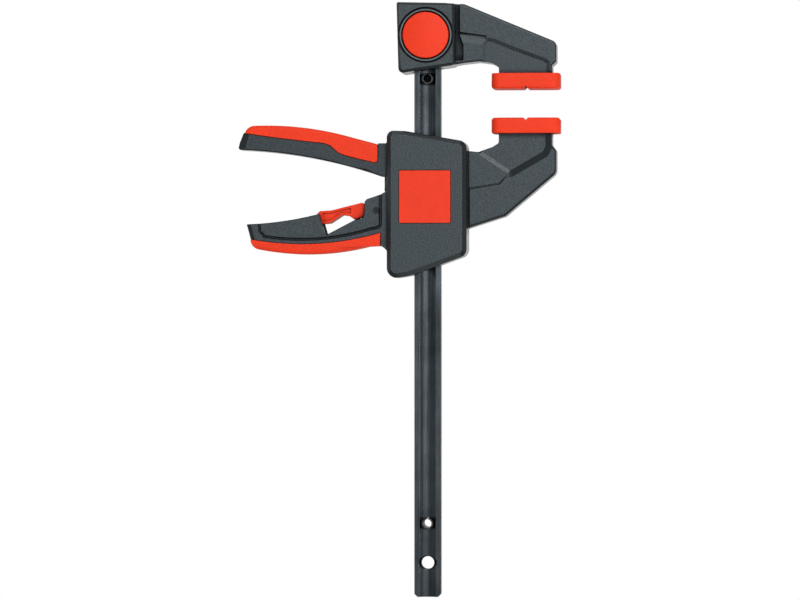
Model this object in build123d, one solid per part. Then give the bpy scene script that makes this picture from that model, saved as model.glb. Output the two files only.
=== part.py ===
from build123d import *
from math import cos, hypot, radians, tan
import os

# One-handed quick release bar clamp, in millimetres.
# Origin: centre of the hole near the bar's free end. +Z runs up the bar to the fixed jaw,
# +X from the bar towards the jaw tips, and the front is -Y. The bar is centred on X = 0, Y = 0.

# ---- bar and what passes through it ----
BAR_WIDTH = 15.0  # in X
BAR_THICK = 7.0  # in Y
HOLE_SPAN = 292.4  # between the end hole and the lock hole
HOLE_TO_END = 19.2  # from each hole's centre to the bar's end
END_HOLE = 7.0  # hole diameter
HOLE_RIM = 10.2  # diameter of the countersink round each hole, at the bar's faces
RIM_DEPTH = 0.5  # how far the countersink reaches below the hollow's floor
BAR_CORNER = 1.7  # chamfer at the bar's ends
GROOVE_WIDTH = 9.0  # shallow hollow along both faces
GROOVE_DEPTH = 1.3
STOP_TO_HOLE = 22.0  # from each hole to its stop pin
STOP_PIN = 6.6  # stop pin diameter
STOP_BORE = 4.6
STOP_RIM = 8.6
STOP_RIM_DEPTH = 0.1
STOP_SLIT = 0.9
STOP_LENGTH = 13.0
PIN_CHAMFER = 0.4
LIP_HALF = 6.2  # half width of the fixed jaw's lip behind the upper stop pin
LIP_ROOM = 0.9  # between the pin's end and the lip
LIP_THICK = 2.8
LIP_LOW = 1.4  # lip's lower end above the fixed jaw's face
LIP_TOP = 16.0  # lip's root inside the block

# ---- jaws ----
FACE_TO_BAR_TOP = 47.1  # from the fixed jaw's clamping face up to the bar's top end
JAW_OPENING = 16.2  # between the clamping faces, as stored
ARM_HALF = 10.0  # half thickness of both jaw arms in Y
BLOCK_HALF = 14.0  # half thickness of the fixed jaw's block
PAD_CENTRE = 55.1  # X of the pads' centre
PAD_WIDTH = 38.4
PAD_HEIGHT = 8.6
PAD_HALF = 12.5  # half depth in Y
PAD_FACE = 3.0  # pad thickness over the jaw's nose
PAD_CORNER = 3.2  # rounding of the pads' upright corners
PAD_EDGE = 1.2  # rounding round the clamping face
NOSE_WIDTH = 29.4  # jaw nose inside the pad
NOSE_HALF = 8.6
NOSE_CORNER = 2.0
PAD_NOTCH = 2.3  # width of the V groove across each pad
PAD_NOTCH_DEPTH = 1.4
RECESS_DEPTH = 1.7  # how far the sliding jaw's neck lies below its arm's face
RECESS_SLOPE = 66.0  # degrees, of the recess walls from the Y axis
FIXED_RECESS = 1.2
FIXED_RECESS_SLOPE = 61.0
STEP_DEPTH = 0.7  # shallow step on the sliding arm's faces
STEP_SLOPE = 45.0
FACET_DEPTH = 1.3  # long facet on the fixed arm's faces, which leans back as it rises
FACET_HEIGHT = 4.6
FACET_FOOT = (12.0, 26.8)
FACET_TURN = 6.0  # degrees, down towards the pad
NOSE_ROOT = 0.2  # how far each nose runs on into its jaw
SLIDING_ARM_ROUND = 2.0  # rounding of the arms' outer edges
FIXED_ARM_ROUND = 1.4
BLOCK_BEVEL = 1.2  # chamfer round the block's faces
BLOCK_SLOT = 4.4  # depth of the slot between block and arm, below the arm's face

# ---- mechanism box, covers and lower handle ----
BOX_HALF_WIDTH = 22.3
COVER_DEPTH = 4.4
COVER_BEVEL = 2.4
COVER_EDGE_ROUND = 0.5
BADGE_SIZE = (28.6, 29.2)
BADGE_THICK = 0.8
BADGE_PROUD = 0.25
BADGE_ROOM = 0.15  # round the badge in its recess
BADGE_X = -0.9
BADGE_DROP = 44.0  # badge's centre below the sliding jaw's face
HANDLE_HALF = 10.0
HANDLE_ROUND = 0.8
LOWER_GRIP_ROUND = 2.4
GRIP_PROUD = 0.7  # soft grips stand this far out of the handles' sides
GRIP_SKIN = 2.2  # grip thickness over the rib inside it
RIB_HALF = 6.5  # half thickness of the ribs that the grips sit on
SLOT_HALF = 7.3  # half width of the release lever's slot
PANEL_GROOVE = 1.3  # width of the groove round the handle's panel
PANEL_GROOVE_DEPTH = 1.3
HANDLE_END_BEVEL = 2.4  # length of the bevels at the handle's free end
SPINE_HALF = 5.8  # half thickness of the box's wall between the trigger's cheeks

# ---- trigger ----
TRIGGER_PIVOT = (-13.5, -17.5)  # X, and Z below the sliding jaw's face
CHEEK_TO_COVER = 0.6
TRIGGER_END_BEVEL = 3.8  # length of the bevels at the trigger's free end
TRIGGER_ROUND = 1.0
TRIGGER_GRIP_ROUND = 2.0
HUB_RADIUS = 5.0
HUB_ROOM = 0.4  # round the hub, in the box
TRIGGER_PIN = 4.0
BUSH_WALL = 1.0
CHEEK_GAP = 0.6  # between the spine and each cheek
NOSE_AT = (-5.5, -5.0)  # trigger's nose from its pivot
NOSE_RADIUS = 1.8

# ---- release lever ----
RELEASE_PIVOT = (-28.4, -51.5)
RELEASE_HALF = 6.9
RELEASE_ROUND = 0.5
RELEASE_POCKET = 0.8  # depth of the hollow in each side of the lever
RELEASE_PIN = 3.0
RELEASE_BUSH_WALL = 0.8
PIN_SUNK = 0.5  # how far the release pin's ends lie below the handle's sides
PIN_CENTRE = 1.5  # diameter and depth of the centre holes in the release pin's ends
PIN_LEAD = 0.3  # chamfer at the steel pins' ends
BUSH_FIT = 0.06  # gap between a pin and its bush
PIN_END = 0.2  # gap past each end of a sunk pin

# ---- plates, springs, guides ----
PLATE_THICK = 2.5
PLATE_GAP = 0.1
PLATE_HALF = 8.0  # half depth in Y of the wide part
TONGUE_HALF = 4.0
TONGUE_ROOM = 0.6  # beside the brake plate's tongue in the box's wall
DRIVE_PLATE_RIGHT = 12.9
DRIVE_TONGUE_LEFT = -20.6
TONGUE_ROOT = -12.4  # X where the plates widen
DRIVE_SLOT_SIDE = 0.15  # gap between a drive plate's slot and the bar
NOSE_GAP = 0.3
BRAKE_TILT = 3.0  # degrees
BRAKE_SLOT_SIDE = 0.25
FULCRUM_X = 17.0
FULCRUM_Z = -59.8
FULCRUM_PIN = 3.0
FULCRUM_GAP = 0.05
BRAKE_TONGUE_LEFT = -40.4
BRAKE_TONGUE_ROOT = -13.4
SHORT_TONGUE_LEFT = -18.4  # end of the lower brake plate
FULCRUM_OVERHANG = 2.0  # plates' reach past the fulcrum
COIL_ROOM = 0.55  # drive spring's inner diameter less the bar's diagonal
COIL_TO_COVER = 0.25
DRIVE_WIRE = 1.2
DRIVE_TURNS = 5
BRAKE_COIL = 4.6
BRAKE_WIRE = 0.8
BRAKE_TURNS = 6
BRAKE_COIL_X = -14.0
RIB_TOP = -48.6  # top of the cross rib under the drive spring
RIB_THICK = 2.6
CAVITY_FLOOR = -75.3
GUIDE_SIDE = 10.0  # half width of the guides
GUIDE_HALF = 6.0
GUIDE_FIT = 0.12  # gap round the bar
BAR_EXIT = 0.5  # gap round the bar in the box's ends
SOCKET_END = 0.2  # gap over the bar's end in the fixed jaw

# ---- lock button ----
BUTTON_X = -0.5
BUTTON_RISE = 1.9  # button's centre above the lock hole
BUTTON = 25.8
BUTTON_WELL = 26.6
BEZEL = 29.0  # ring's outer diameter
BEZEL_INNER = 27.2
BEZEL_RECESS = 30.8
BEZEL_HEIGHT = 1.6  # depth of the ring's recess
BEZEL_PROUD = 0.2
BEZEL_ROUND = 0.3
BUTTON_PROUD = 1.2
BUTTON_THICK = 4.0
DOME_RISE = 1.0
CUP_DEPTH = 1.2  # spring's cup in the button's back
CUP_ROOM = 0.4
LOCK_PIN = 6.6
LOCK_PIN_SHORT = 0.3  # how far the pin stops short of the bar's front web
LOCK_PIN_LEAD = 0.6
YOKE_GAP = 0.6
YOKE_WALL = 2.2
YOKE_BACK = 2.6  # thickness behind the bar
YOKE_REAR_GAP = 1.6  # between the bar's rear face and the yoke
YOKE_HALF = 4.8  # half height in Z
WEB_FRONT = -5.2  # Y of the wall in front of the bar
BACK_PLATE = 2.0
PLATE_ROOM = 0.15  # round the back plate
BUTTON_COIL = 9.0
BUTTON_WIRE = 0.8
BUTTON_TURNS = 4
SPRING_SEAT = 0.05  # gap at each end of every spring

# ---- screws ----
SCREW = 3.0
SCREW_HOLE = 3.2
SCREW_HEAD = 5.6
SCREW_HEAD_HEIGHT = 1.8
HEAD_ROOM = 0.1  # round a sunk screw head
SCREW_HEAD_ROUND = 0.7
SCREW_CROSS = (3.2, 1.8, 0.8)  # driver recess: length, depth, width
SCREW_BOSS = 6.4
JAW_SCREW_TIP = 4.5  # Y of the jaw screws' tips
JAW_SCREW_PROUD = 0.3
COVER_BORE = 2.6  # depth of the blind holes inside the front cover
COVER_SCREWS = ((17.0, -21.4), (16.6, -71.0), (-16.6, -81.5), (-17.4, -43.2))
JAW_SCREWS = ((-9.8, 12.2), (9.2, -10.2))  # from the lock hole

# ---- worked out ----
# The fixed jaw and its pieces are drawn with Z = 0 at its clamping face, and the sliding jaw and
# its pieces with Z = 0 at its own. Each is moved up to its place when it is written.
Z_BAR_TOP = HOLE_SPAN + HOLE_TO_END
Z_FIXED = Z_BAR_TOP - FACE_TO_BAR_TOP
Z_SLIDE = Z_FIXED - JAW_OPENING
LOCK_UP = FACE_TO_BAR_TOP - HOLE_TO_END  # lock hole above the fixed jaw's face
BUTTON_UP = LOCK_UP + BUTTON_RISE
DRIVE_COIL = hypot(BAR_WIDTH, BAR_THICK) + COIL_ROOM  # inner diameter
BOX_HALF = DRIVE_COIL / 2 + DRIVE_WIRE + COIL_TO_COVER  # half thickness in Y, between the covers
COVER_Y = BOX_HALF + COVER_DEPTH
TRIGGER_HALF = BOX_HALF - CHEEK_TO_COVER
FAR = 60.0  # reaches past anything that a cut goes through


def slab(outline, y_low, y_high):
    """An outline drawn in X and Z, made solid from y_low to y_high."""
    return extrude(Plane.XZ.offset(-y_low) * outline, amount=-(y_high - y_low))


def outline(*corners):
    """A closed outline of (x, z, rounding) corners."""
    points = [(x, z) for x, z, _ in corners]
    radii = [r for _, _, r in corners]
    return make_face(FilletPolyline(*points, radius=radii, close=True))


def boxed(x_low, x_high, z_low, z_high, y_low, y_high):
    """A plain block between two corners."""
    middle = ((x_low + x_high) / 2, (y_low + y_high) / 2, (z_low + z_high) / 2)
    return Pos(*middle) * Box(x_high - x_low, y_high - y_low, z_high - z_low)


def rod(x, z, radius, y_low, y_high):
    """A round bar along Y."""
    return Pos(x, (y_low + y_high) / 2, z) * Rot(90, 0, 0) * Cylinder(radius, y_high - y_low)


def level_edges(solid, y):
    """The edges of a solid that lie wholly in the plane at y."""
    return solid.edges().filter_by_position(Axis.Y, y - 0.01, y + 0.01)


def both_ways(solid):
    """A solid and its mirror image across the clamp's middle plane."""
    return solid + mirror(solid, Plane.XZ)


def coil(inner, wire, height, turns):
    """A helical spring that stands on Z = 0, with its ends cut flat."""
    radius = (inner + wire) / 2
    path = Helix(pitch=(height - wire) / turns, height=height - wire, radius=radius)
    section = Plane(origin=path @ 0, z_dir=path % 0) * Circle(wire / 2)
    return Pos(0, 0, wire / 2) * sweep(section, path=path, is_frenet=True)


def end_bevels(low, high, length, half):
    """Wedges that bevel both sides of a lever's free end, whose edge runs from low up to high."""
    along = Vector(high[0] - low[0], 0, high[1] - low[1]).normalized()
    away = Vector(-along.Z, 0, along.X)
    plane = Plane(origin=(low[0], 0, low[1]), x_dir=away, z_dir=along)
    wedge = Polygon((-length - 2, half + 1), (1, half - (length + 1) / 2), (1, half + 1), align=None)
    return both_ways(extrude(plane.offset(-FAR / 2) * wedge, amount=FAR))


def save(node, solid, up=0.0):
    """Writes a solid to its node's file, moved up to its place."""
    export_step(Pos(0, 0, up) * solid, "parts/" + node + ".step")


# ---- bar ----


def make_bar():
    """Flat rail with a hollow along both faces, and a rimmed hole near each end."""
    rail = boxed(-BAR_WIDTH / 2, BAR_WIDTH / 2, -HOLE_TO_END, Z_BAR_TOP, -BAR_THICK / 2, BAR_THICK / 2)
    rail = chamfer(rail.edges().filter_by(Axis.Y), BAR_CORNER)
    half = GROOVE_WIDTH / 2
    hollow_radius = (half**2 + GROOVE_DEPTH**2) / (2 * GROOVE_DEPTH)
    hollow_y = BAR_THICK / 2 - GROOVE_DEPTH + hollow_radius
    length = Z_BAR_TOP + HOLE_TO_END
    hollow = Pos(0, hollow_y, length / 2 - HOLE_TO_END) * Cylinder(hollow_radius, length + 2)
    rail -= both_ways(hollow)
    for z in (0, HOLE_SPAN):
        rail -= sunk_hole(z, END_HOLE / 2, HOLE_RIM / 2, RIM_DEPTH)
    for z in (STOP_TO_HOLE, HOLE_SPAN - STOP_TO_HOLE):
        rail -= sunk_hole(z, STOP_PIN / 2, STOP_RIM / 2, STOP_RIM_DEPTH)
    return rail


def sunk_hole(z, radius, rim, below):
    """Hole through the bar with a countersink in both faces, which ends below the hollow's floor."""
    floor = BAR_THICK / 2 - GROOVE_DEPTH - below
    depth = BAR_THICK / 2 - floor
    past = 1.0
    cone = Cone(radius, rim + (rim - radius) * past / depth, depth + past)
    cone = Pos(0, -floor - (depth + past) / 2, z) * Rot(90, 0, 0) * cone
    return rod(0, z, radius, -BAR_THICK, BAR_THICK) + both_ways(cone)


def make_stop_pin(z):
    """Slotted spring pin, pressed through the bar."""
    half = STOP_LENGTH / 2
    pin = rod(0, z, STOP_PIN / 2, -half, half)
    ends = level_edges(pin, -half) + level_edges(pin, half)
    pin = chamfer(ends, PIN_CHAMFER)
    pin -= rod(0, z, STOP_BORE / 2, -FAR, FAR)
    return pin - boxed(-STOP_SLIT / 2, STOP_SLIT / 2, z, z + STOP_PIN, -FAR, FAR)


# ---- jaws ----


def make_pad(up):
    """Soft cap over a jaw's nose. up is +1 where the clamping face looks up."""
    low, high = sorted((0, -up * PAD_HEIGHT))
    left = PAD_CENTRE - PAD_WIDTH / 2
    pad = boxed(left, left + PAD_WIDTH, low, high, -PAD_HALF, PAD_HALF)
    pad = fillet(pad.edges().filter_by(Axis.Z), PAD_CORNER)
    face_edges = pad.edges().filter_by_position(Axis.Z, -0.01, 0.01)
    pad = fillet(face_edges, PAD_EDGE)
    notch = outline(
        (PAD_CENTRE - PAD_NOTCH / 2, 0, 0),
        (PAD_CENTRE, -up * PAD_NOTCH_DEPTH, 0),
        (PAD_CENTRE + PAD_NOTCH / 2, 0, 0),
    )
    pad -= slab(notch, -FAR, FAR)
    return pad - jaw_nose(up)


def jaw_nose(up):
    """The tongue of a jaw that fills its pad's pocket."""
    low, high = sorted((-up * PAD_FACE, -up * (PAD_HEIGHT + NOSE_ROOT)))
    half = NOSE_WIDTH / 2
    nose = boxed(PAD_CENTRE - half, PAD_CENTRE + half, low, high, -NOSE_HALF, NOSE_HALF)
    return fillet(nose.edges().filter_by(Axis.Z), NOSE_CORNER)


def neck_recess(corners, depth, slope):
    """Both sides' hollow over a floor outline, with walls that slope outwards."""
    floor_y = ARM_HALF - depth
    floor = Plane.XZ.offset(-floor_y) * outline(*corners)
    return both_ways(extrude(floor, amount=-(depth + 0.5), taper=-slope))


def arm_facet():
    """Both sides' wedge over the fixed arm's facet, closed above by a steeper wall."""
    clear = 0.5
    rise = FACET_HEIGHT / FACET_DEPTH
    front = -ARM_HALF - clear
    wedge = make_face(
        Polyline(
            (front, -clear * rise),
            (-ARM_HALF + FACET_DEPTH, FACET_HEIGHT),
            (front, FACET_HEIGHT + (FACET_DEPTH + clear) / 2),
            close=True,
        )
    )
    length = 33.0 - FACET_FOOT[0]
    cut = Pos(FACET_FOOT[0], 0, FACET_FOOT[1]) * Rot(0, FACET_TURN, 0) * extrude(Plane.YZ * wedge, amount=length)
    return cut + mirror(cut, about=Plane.XZ)


def make_fixed_jaw():
    """Jaw with the bar's socket in a thick block, and an arm that drops to the pad."""
    nose_right = PAD_CENTRE + NOSE_WIDTH / 2
    arm = outline(
        (10.0, 12.4, 0),
        (10.0, 47.9, 0),
        (20.9, 47.2, 3.0),
        (72.2, 25.8, 3.5),
        (72.2, 14.9, 1.4),
        (nose_right, 12.8, 0.4),
        (nose_right, PAD_HEIGHT, 0),
        (40.1, PAD_HEIGHT, 0),
        (40.1, 12.2, 2.0),
        (36.0, 14.3, 3.0),
        (29.0, 15.2, 3.0),
        (20.0, 14.2, 3.0),
    )
    jaw = slab(arm, -ARM_HALF, ARM_HALF)
    rim = level_edges(jaw, -ARM_HALF) + level_edges(jaw, ARM_HALF)
    jaw = fillet(rim, FIXED_ARM_ROUND)
    neck = ((33.0, 27.4, 2), (46.0, 22.0, 3), (66.6, 14.4, 1), (66.6, -4.0, 0), (33.0, -4.0, 0))
    jaw -= neck_recess(neck, FIXED_RECESS, FIXED_RECESS_SLOPE)
    jaw -= arm_facet()
    jaw += jaw_nose(-1)
    block = outline(
        (-16.8, 48.3, 1.2),
        (10.0, 47.7, 0),
        (15.3, 47.2, 1.2),
        (15.9, 13.1, 2.0),
        (-15.7, 8.5, 2.6),
    )
    block = slab(block, -BLOCK_HALF, BLOCK_HALF)
    rim = level_edges(block, -BLOCK_HALF) + level_edges(block, BLOCK_HALF)
    jaw += chamfer(rim, BLOCK_BEVEL)
    groove = outline(
        (15.4, 60.0, 0), (18.2, 60.0, 0), (18.2, 29.6, 1), (20.2, 24.5, 1), (20.2, 16.0, 0), (15.9, 15.2, 0)
    )
    jaw -= both_ways(slab(groove, ARM_HALF - BLOCK_SLOT, BLOCK_HALF + 1))
    # a lip behind the upper stop pin, which can't drift out of the bar that way
    lip_y = STOP_LENGTH / 2 + LIP_ROOM
    jaw += boxed(-LIP_HALF, LIP_HALF, LIP_LOW, LIP_TOP, lip_y, lip_y + LIP_THICK)
    half_x, half_y = BAR_WIDTH / 2 + GUIDE_FIT, BAR_THICK / 2 + GUIDE_FIT
    jaw -= boxed(-half_x, half_x, -FAR, FACE_TO_BAR_TOP + SOCKET_END, -half_y, half_y)
    jaw -= rod(BUTTON_X, BUTTON_UP, BEZEL_RECESS / 2, -BLOCK_HALF - 1, -BLOCK_HALF + BEZEL_HEIGHT)
    jaw -= rod(BUTTON_X, BUTTON_UP, BUTTON_WELL / 2, -BLOCK_HALF - 1, WEB_FRONT)
    pocket_x = yoke_outer() + YOKE_GAP
    pocket_z = YOKE_HALF + YOKE_GAP
    slot_x = BAR_WIDTH / 2 + YOKE_GAP / 2
    back_y = BLOCK_HALF - BACK_PLATE
    for side in (-1, 1):
        low, high = sorted((side * slot_x, side * pocket_x))
        jaw -= boxed(low, high, LOCK_UP - pocket_z, LOCK_UP + pocket_z, WEB_FRONT - 1, back_y)
    jaw -= boxed(-pocket_x, pocket_x, LOCK_UP - pocket_z, LOCK_UP + pocket_z, 0, back_y)
    jaw -= slab(back_plate_outline(), back_y, BLOCK_HALF + 1)
    for x, dz in JAW_SCREWS:
        jaw -= rod(x, LOCK_UP + dz, SCREW_HOLE / 2, JAW_SCREW_TIP - PIN_END, BLOCK_HALF)
    return jaw


def back_plate_outline():
    """Rear plate of the fixed jaw's block."""
    return outline((-13.2, 45.2, 2.0), (12.6, 44.6, 2.0), (13.0, 15.4, 2.0), (-12.8, 11.6, 2.0))


def make_back_plate():
    """Plate that closes the lock's pocket, with sunk screw heads."""
    back_y = BLOCK_HALF - BACK_PLATE
    plate = slab(offset(back_plate_outline(), -PLATE_ROOM), back_y, BLOCK_HALF)
    head_y = BLOCK_HALF - SCREW_HEAD_HEIGHT + JAW_SCREW_PROUD
    for x, dz in JAW_SCREWS:
        plate -= rod(x, LOCK_UP + dz, SCREW_HOLE / 2, back_y - 1, BLOCK_HALF + 1)
        plate -= rod(x, LOCK_UP + dz, SCREW_HEAD / 2 + HEAD_ROOM, head_y, FAR)
    return plate


def screw(x, z, head_y, length):
    """Pan-headed screw whose head's outer face lies at head_y, on the rear side."""
    under = head_y - SCREW_HEAD_HEIGHT
    head = rod(x, z, SCREW_HEAD / 2, under, head_y)
    head = fillet(level_edges(head, head_y), SCREW_HEAD_ROUND)
    body = head + rod(x, z, SCREW / 2, under - length, under)
    for angle in (45, 135):
        body -= Pos(x, head_y, z) * Rot(0, angle, 0) * Box(*SCREW_CROSS)
    return body


# ---- lock button ----


def yoke_outer():
    return BAR_WIDTH / 2 + YOKE_GAP + YOKE_WALL


def make_lock_button():
    """Domed round button that slides in the block's well."""
    front = -BLOCK_HALF - BUTTON_PROUD
    back = front + BUTTON_THICK
    radius = BUTTON / 2
    dome = ThreePointArc((0, front), (radius / 2, front + DOME_RISE / 4), (radius, front + DOME_RISE))
    sides = Polyline((radius, front + DOME_RISE), (radius, back), (0, back), (0, front))
    disc = revolve(make_face(Curve() + [dome, sides]), axis=Axis.Y)
    disc = Pos(BUTTON_X, 0, BUTTON_UP) * disc
    cup = rod(BUTTON_X, BUTTON_UP, BUTTON_COIL / 2 + BUTTON_WIRE + CUP_ROOM, back - CUP_DEPTH, 0)
    return disc - cup


def button_back():
    return -BLOCK_HALF - BUTTON_PROUD + BUTTON_THICK


def make_lock_yoke():
    """U-shaped carrier that takes the button's push round the bar."""
    bar_y = BAR_THICK / 2 + YOKE_REAR_GAP
    outer = yoke_outer()
    inner = BAR_WIDTH / 2 + YOKE_GAP
    low, high = LOCK_UP - YOKE_HALF, LOCK_UP + YOKE_HALF
    yoke = boxed(-outer, outer, low, high, button_back(), bar_y + YOKE_BACK)
    return yoke - boxed(-inner, inner, low - 1, high + 1, button_back() - 1, bar_y)


def make_lock_pin():
    """Pin that enters the bar's upper hole from the rear."""
    tip = -BAR_THICK / 2 + GROOVE_DEPTH + RIM_DEPTH + LOCK_PIN_SHORT
    root = BAR_THICK / 2 + YOKE_REAR_GAP
    pin = rod(0, LOCK_UP, LOCK_PIN / 2, tip, root)
    return chamfer(level_edges(pin, tip), LOCK_PIN_LEAD)


def make_bezel():
    """Thin ring round the button, in a round recess of the block."""
    y_low = -BLOCK_HALF - BEZEL_PROUD
    y_high = -BLOCK_HALF + BEZEL_HEIGHT
    ring = rod(BUTTON_X, BUTTON_UP, BEZEL / 2, y_low, y_high)
    ring = fillet(level_edges(ring, y_low), BEZEL_ROUND)
    return ring - rod(BUTTON_X, BUTTON_UP, BEZEL_INNER / 2, -FAR, 0)


def make_button_spring():
    """Coil between the wall in front of the bar and the button's cup."""
    height = WEB_FRONT - (button_back() - CUP_DEPTH) - 2 * SPRING_SEAT
    spring = coil(BUTTON_COIL, BUTTON_WIRE, height, BUTTON_TURNS)
    return Pos(BUTTON_X, WEB_FRONT - SPRING_SEAT, BUTTON_UP) * Rot(90, 0, 0) * spring


# ---- sliding jaw frame ----


def box_outline():
    """Outline shared by the mechanism box and both covers."""
    return outline(
        (-BOX_HALF_WIDTH, -7.0, 3.6),
        (-12.0, -7.3, 6.0),
        (BOX_HALF_WIDTH, -13.3, 4.6),
        (BOX_HALF_WIDTH, -76.6, 5.0),
        (-9.0, -88.0, 30.0),
        (-BOX_HALF_WIDTH, -90.2, 5.6),
    )


def arm_outline():
    """Sliding jaw's arm, from inside the box to the nose under the pad."""
    neck_right = PAD_CENTRE + NOSE_WIDTH / 2
    return outline(
        (19.0, -18.0, 0),
        (28.5, -19.0, 3.0),
        (36.5, -16.2, 4.0),
        (40.0, -14.0, 1.6),
        (40.0, -PAD_HEIGHT, 0),
        (neck_right, -PAD_HEIGHT, 0),
        (neck_right, -15.2, 2.0),
        (72.2, -18.4, 2.0),
        (72.2, -31.0, 4.5),
        (43.8, -54.9, 4.0),
        (19.0, -62.9, 0),
    )


def handle_line():
    """Closed outline of the lower handle's dark core, without its soft grip."""
    end_top = (-101.2, -59.1)
    end_low = (-98.9, -67.6)
    top = ThreePointArc(end_top, (-80.0, -57.25), (-62.3, -53.8))
    rise = Polyline((-62.3, -53.8), (-34.9, -46.5), (-33.6, -45.2), (-26.6, -42.8), (-22.3, -40.6))
    inner = Polyline((-22.3, -40.6), (-19.0, -40.6), (-19.0, -72.0), (-22.3, -74.2))
    root = Polyline((-22.3, -74.2), (-24.0, -72.4), (-26.0, -71.2), (-26.0, -64.0))
    low = ThreePointArc((-26.0, -64.0), (-62.0, -70.1), end_low)
    return make_face(Curve() + [top, rise, inner, root, low, Line(end_low, end_top)])


def grip_line(inset):
    """Outline of the soft grip under the handle, or of the rib inside it when inset is more than 0."""
    left, right = (-98.9 + 1.2 * inset, -26.0 - inset)
    shell_low = ThreePointArc(
        (left + 4.2, -73.2 + inset), (-64.0, -75.9 + inset), (-33.0, -71.6 + inset)
    )
    tip = Polyline((-33.0, -71.6 + inset), (right, -71.2 + inset), (right, -64.0))
    top = ThreePointArc((right, -64.0), (-62.0, -70.1), (left, -67.6))
    end = ThreePointArc((left, -67.6), (left + 1.3, -71.2 + inset), (left + 4.2, -73.2 + inset))
    return make_face(Curve() + [shell_low, tip, top, end])


def make_sliding_jaw():
    """One moulding: mechanism box round the bar, jaw arm, and the fixed lower handle."""
    arm = slab(arm_outline(), -ARM_HALF, ARM_HALF)
    arm = fillet(level_edges(arm, -ARM_HALF) + level_edges(arm, ARM_HALF), SLIDING_ARM_ROUND)
    arm -= neck_recess(
        (
            (31.0, -19.0, 0),
            (46.4, -29.4, 1),
            (64.6, -18.8, 1),
            (66.0, -16.0, 1),
            (66.0, 4.0, 0),
            (31.0, 4.0, 0),
        ),
        RECESS_DEPTH,
        RECESS_SLOPE,
    )
    arm -= neck_recess(
        (
            (10.0, -39.6, 0),
            (24.4, -39.0, 1),
            (40.5, -36.4, 1),
            (46.0, -30.0, 1),
            (30.0, -8.0, 0),
            (10.0, -8.0, 0),
        ),
        STEP_DEPTH,
        STEP_SLOPE,
    )
    arm += jaw_nose(1)

    handle = slab(handle_line(), -HANDLE_HALF, HANDLE_HALF)
    handle = fillet(handle_rim(handle), HANDLE_ROUND)
    handle -= end_bevels((-98.9, -67.6), (-101.2, -59.1), HANDLE_END_BEVEL, HANDLE_HALF)
    handle += slab(grip_line(GRIP_SKIN), -RIB_HALF, RIB_HALF)
    handle -= both_ways(slab(panel_groove(), HANDLE_HALF - PANEL_GROOVE_DEPTH, FAR))
    notch = outline(
        (-61.4, -50.0, 0),
        (-56.8, -65.4, 0.8),
        (-45.8, -59.6, 0),
        (-40.2, -56.7, 0),
        (-35.6, -56.0, 2.4),
        (-34.9, -52.0, 0),
        (-34.9, -40.0, 0),
        (-63.8, -45.0, 0),
    )
    handle -= slab(notch, -FAR, FAR)
    slot = outline(
        (-66.5, -44.0, 0),
        (-66.5, -62.6, 1.5),
        (-61.0, -67.0, 2.0),
        (-46.0, -66.2, 2.0),
        (-36.0, -63.6, 1.0),
        (-24.6, -62.6, 1.0),
        (-24.6, -47.2, 1.0),
        (-34.9, -47.2, 0),
        (-34.9, -40.0, 0),
    )
    handle -= slab(slot, -SLOT_HALF, SLOT_HALF)

    box = slab(box_outline(), -BOX_HALF, BOX_HALF)
    frame = arm + handle + box
    cavity = outline(
        (-20.0, CAVITY_FLOOR, 2.0),
        (19.6, CAVITY_FLOOR, 2.0),
        (19.6, -17.0, 3.0),
        (-6.5, -15.9, 0),
        (-6.5, -11.9, 0),
        (-20.0, -11.9, 0),
    )
    cavity = slab(cavity, -FAR, FAR)
    cavity -= boxed(-FAR, FAR, RIB_TOP - RIB_THICK, RIB_TOP, -FAR, FAR)
    cavity -= fulcrum_rib()
    for x, dz in COVER_SCREWS:
        cavity -= rod(x, dz, SCREW_BOSS / 2, -FAR, FAR)
    frame -= cavity
    # the left wall: a narrow spine where the trigger's cheeks pass it on both sides
    opening = outline((-FAR, -37.3, 0), (-19.9, -37.3, 0), (-19.9, -11.9, 0), (-FAR, -11.9, 0))
    frame -= slab(opening, -FAR, FAR)
    spine = outline(
        (-24.0, -41.0, 0),
        (-21.5, -41.0, 0),
        (-21.5, -11.0, 0),
        (-22.2, -11.0, 0),
        (-24.0, -16.5, 0),
    )
    frame += slab(spine, -SPINE_HALF, SPINE_HALF)
    window_half = TONGUE_HALF + TONGUE_ROOM
    frame -= slab(tongue_window(), -window_half, window_half)
    frame -= slab(upper_guide_line(), -GUIDE_HALF, GUIDE_HALF)
    frame -= slab(lower_guide_line(), -GUIDE_HALF, GUIDE_HALF)
    gap = BAR_EXIT
    half_x, half_y = BAR_WIDTH / 2 + gap, BAR_THICK / 2 + gap
    frame -= boxed(-half_x, half_x, CAVITY_FLOOR - FAR, 0, -half_y, half_y)
    frame -= rod(TRIGGER_PIVOT[0], TRIGGER_PIVOT[1], HUB_RADIUS + HUB_ROOM, -FAR, FAR)
    for x, dz in COVER_SCREWS:
        frame -= rod(x, dz, SCREW_HOLE / 2, -FAR, FAR)
    frame -= rod(RELEASE_PIVOT[0], RELEASE_PIVOT[1], RELEASE_PIN / 2, -FAR, FAR)
    frame -= rod(FULCRUM_X, fulcrum_centre(), FULCRUM_PIN / 2, -FAR, FAR)
    return frame


def handle_rim(handle):
    """The side edges of the handle's curved top and of its free end."""
    rim = level_edges(handle, -HANDLE_HALF) + level_edges(handle, HANDLE_HALF)
    return [edge for edge in rim if edge.center().X < -70.0]


def panel_groove():
    """Groove that frames the flat panel on each side of the lower handle."""
    left = Polyline((-93.8, -56.0), (-93.8, -63.0), (-91.0, -66.0))
    low = ThreePointArc((-91.0, -66.0), (-62.0, -67.4), (-32.0, -62.0))
    right = Polyline((-32.0, -62.0), (-27.4, -61.0), (-26.0, -59.6), (-26.0, -40.0))
    path = Curve() + [left, low, right]
    return trace(path, line_width=PANEL_GROOVE)


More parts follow.
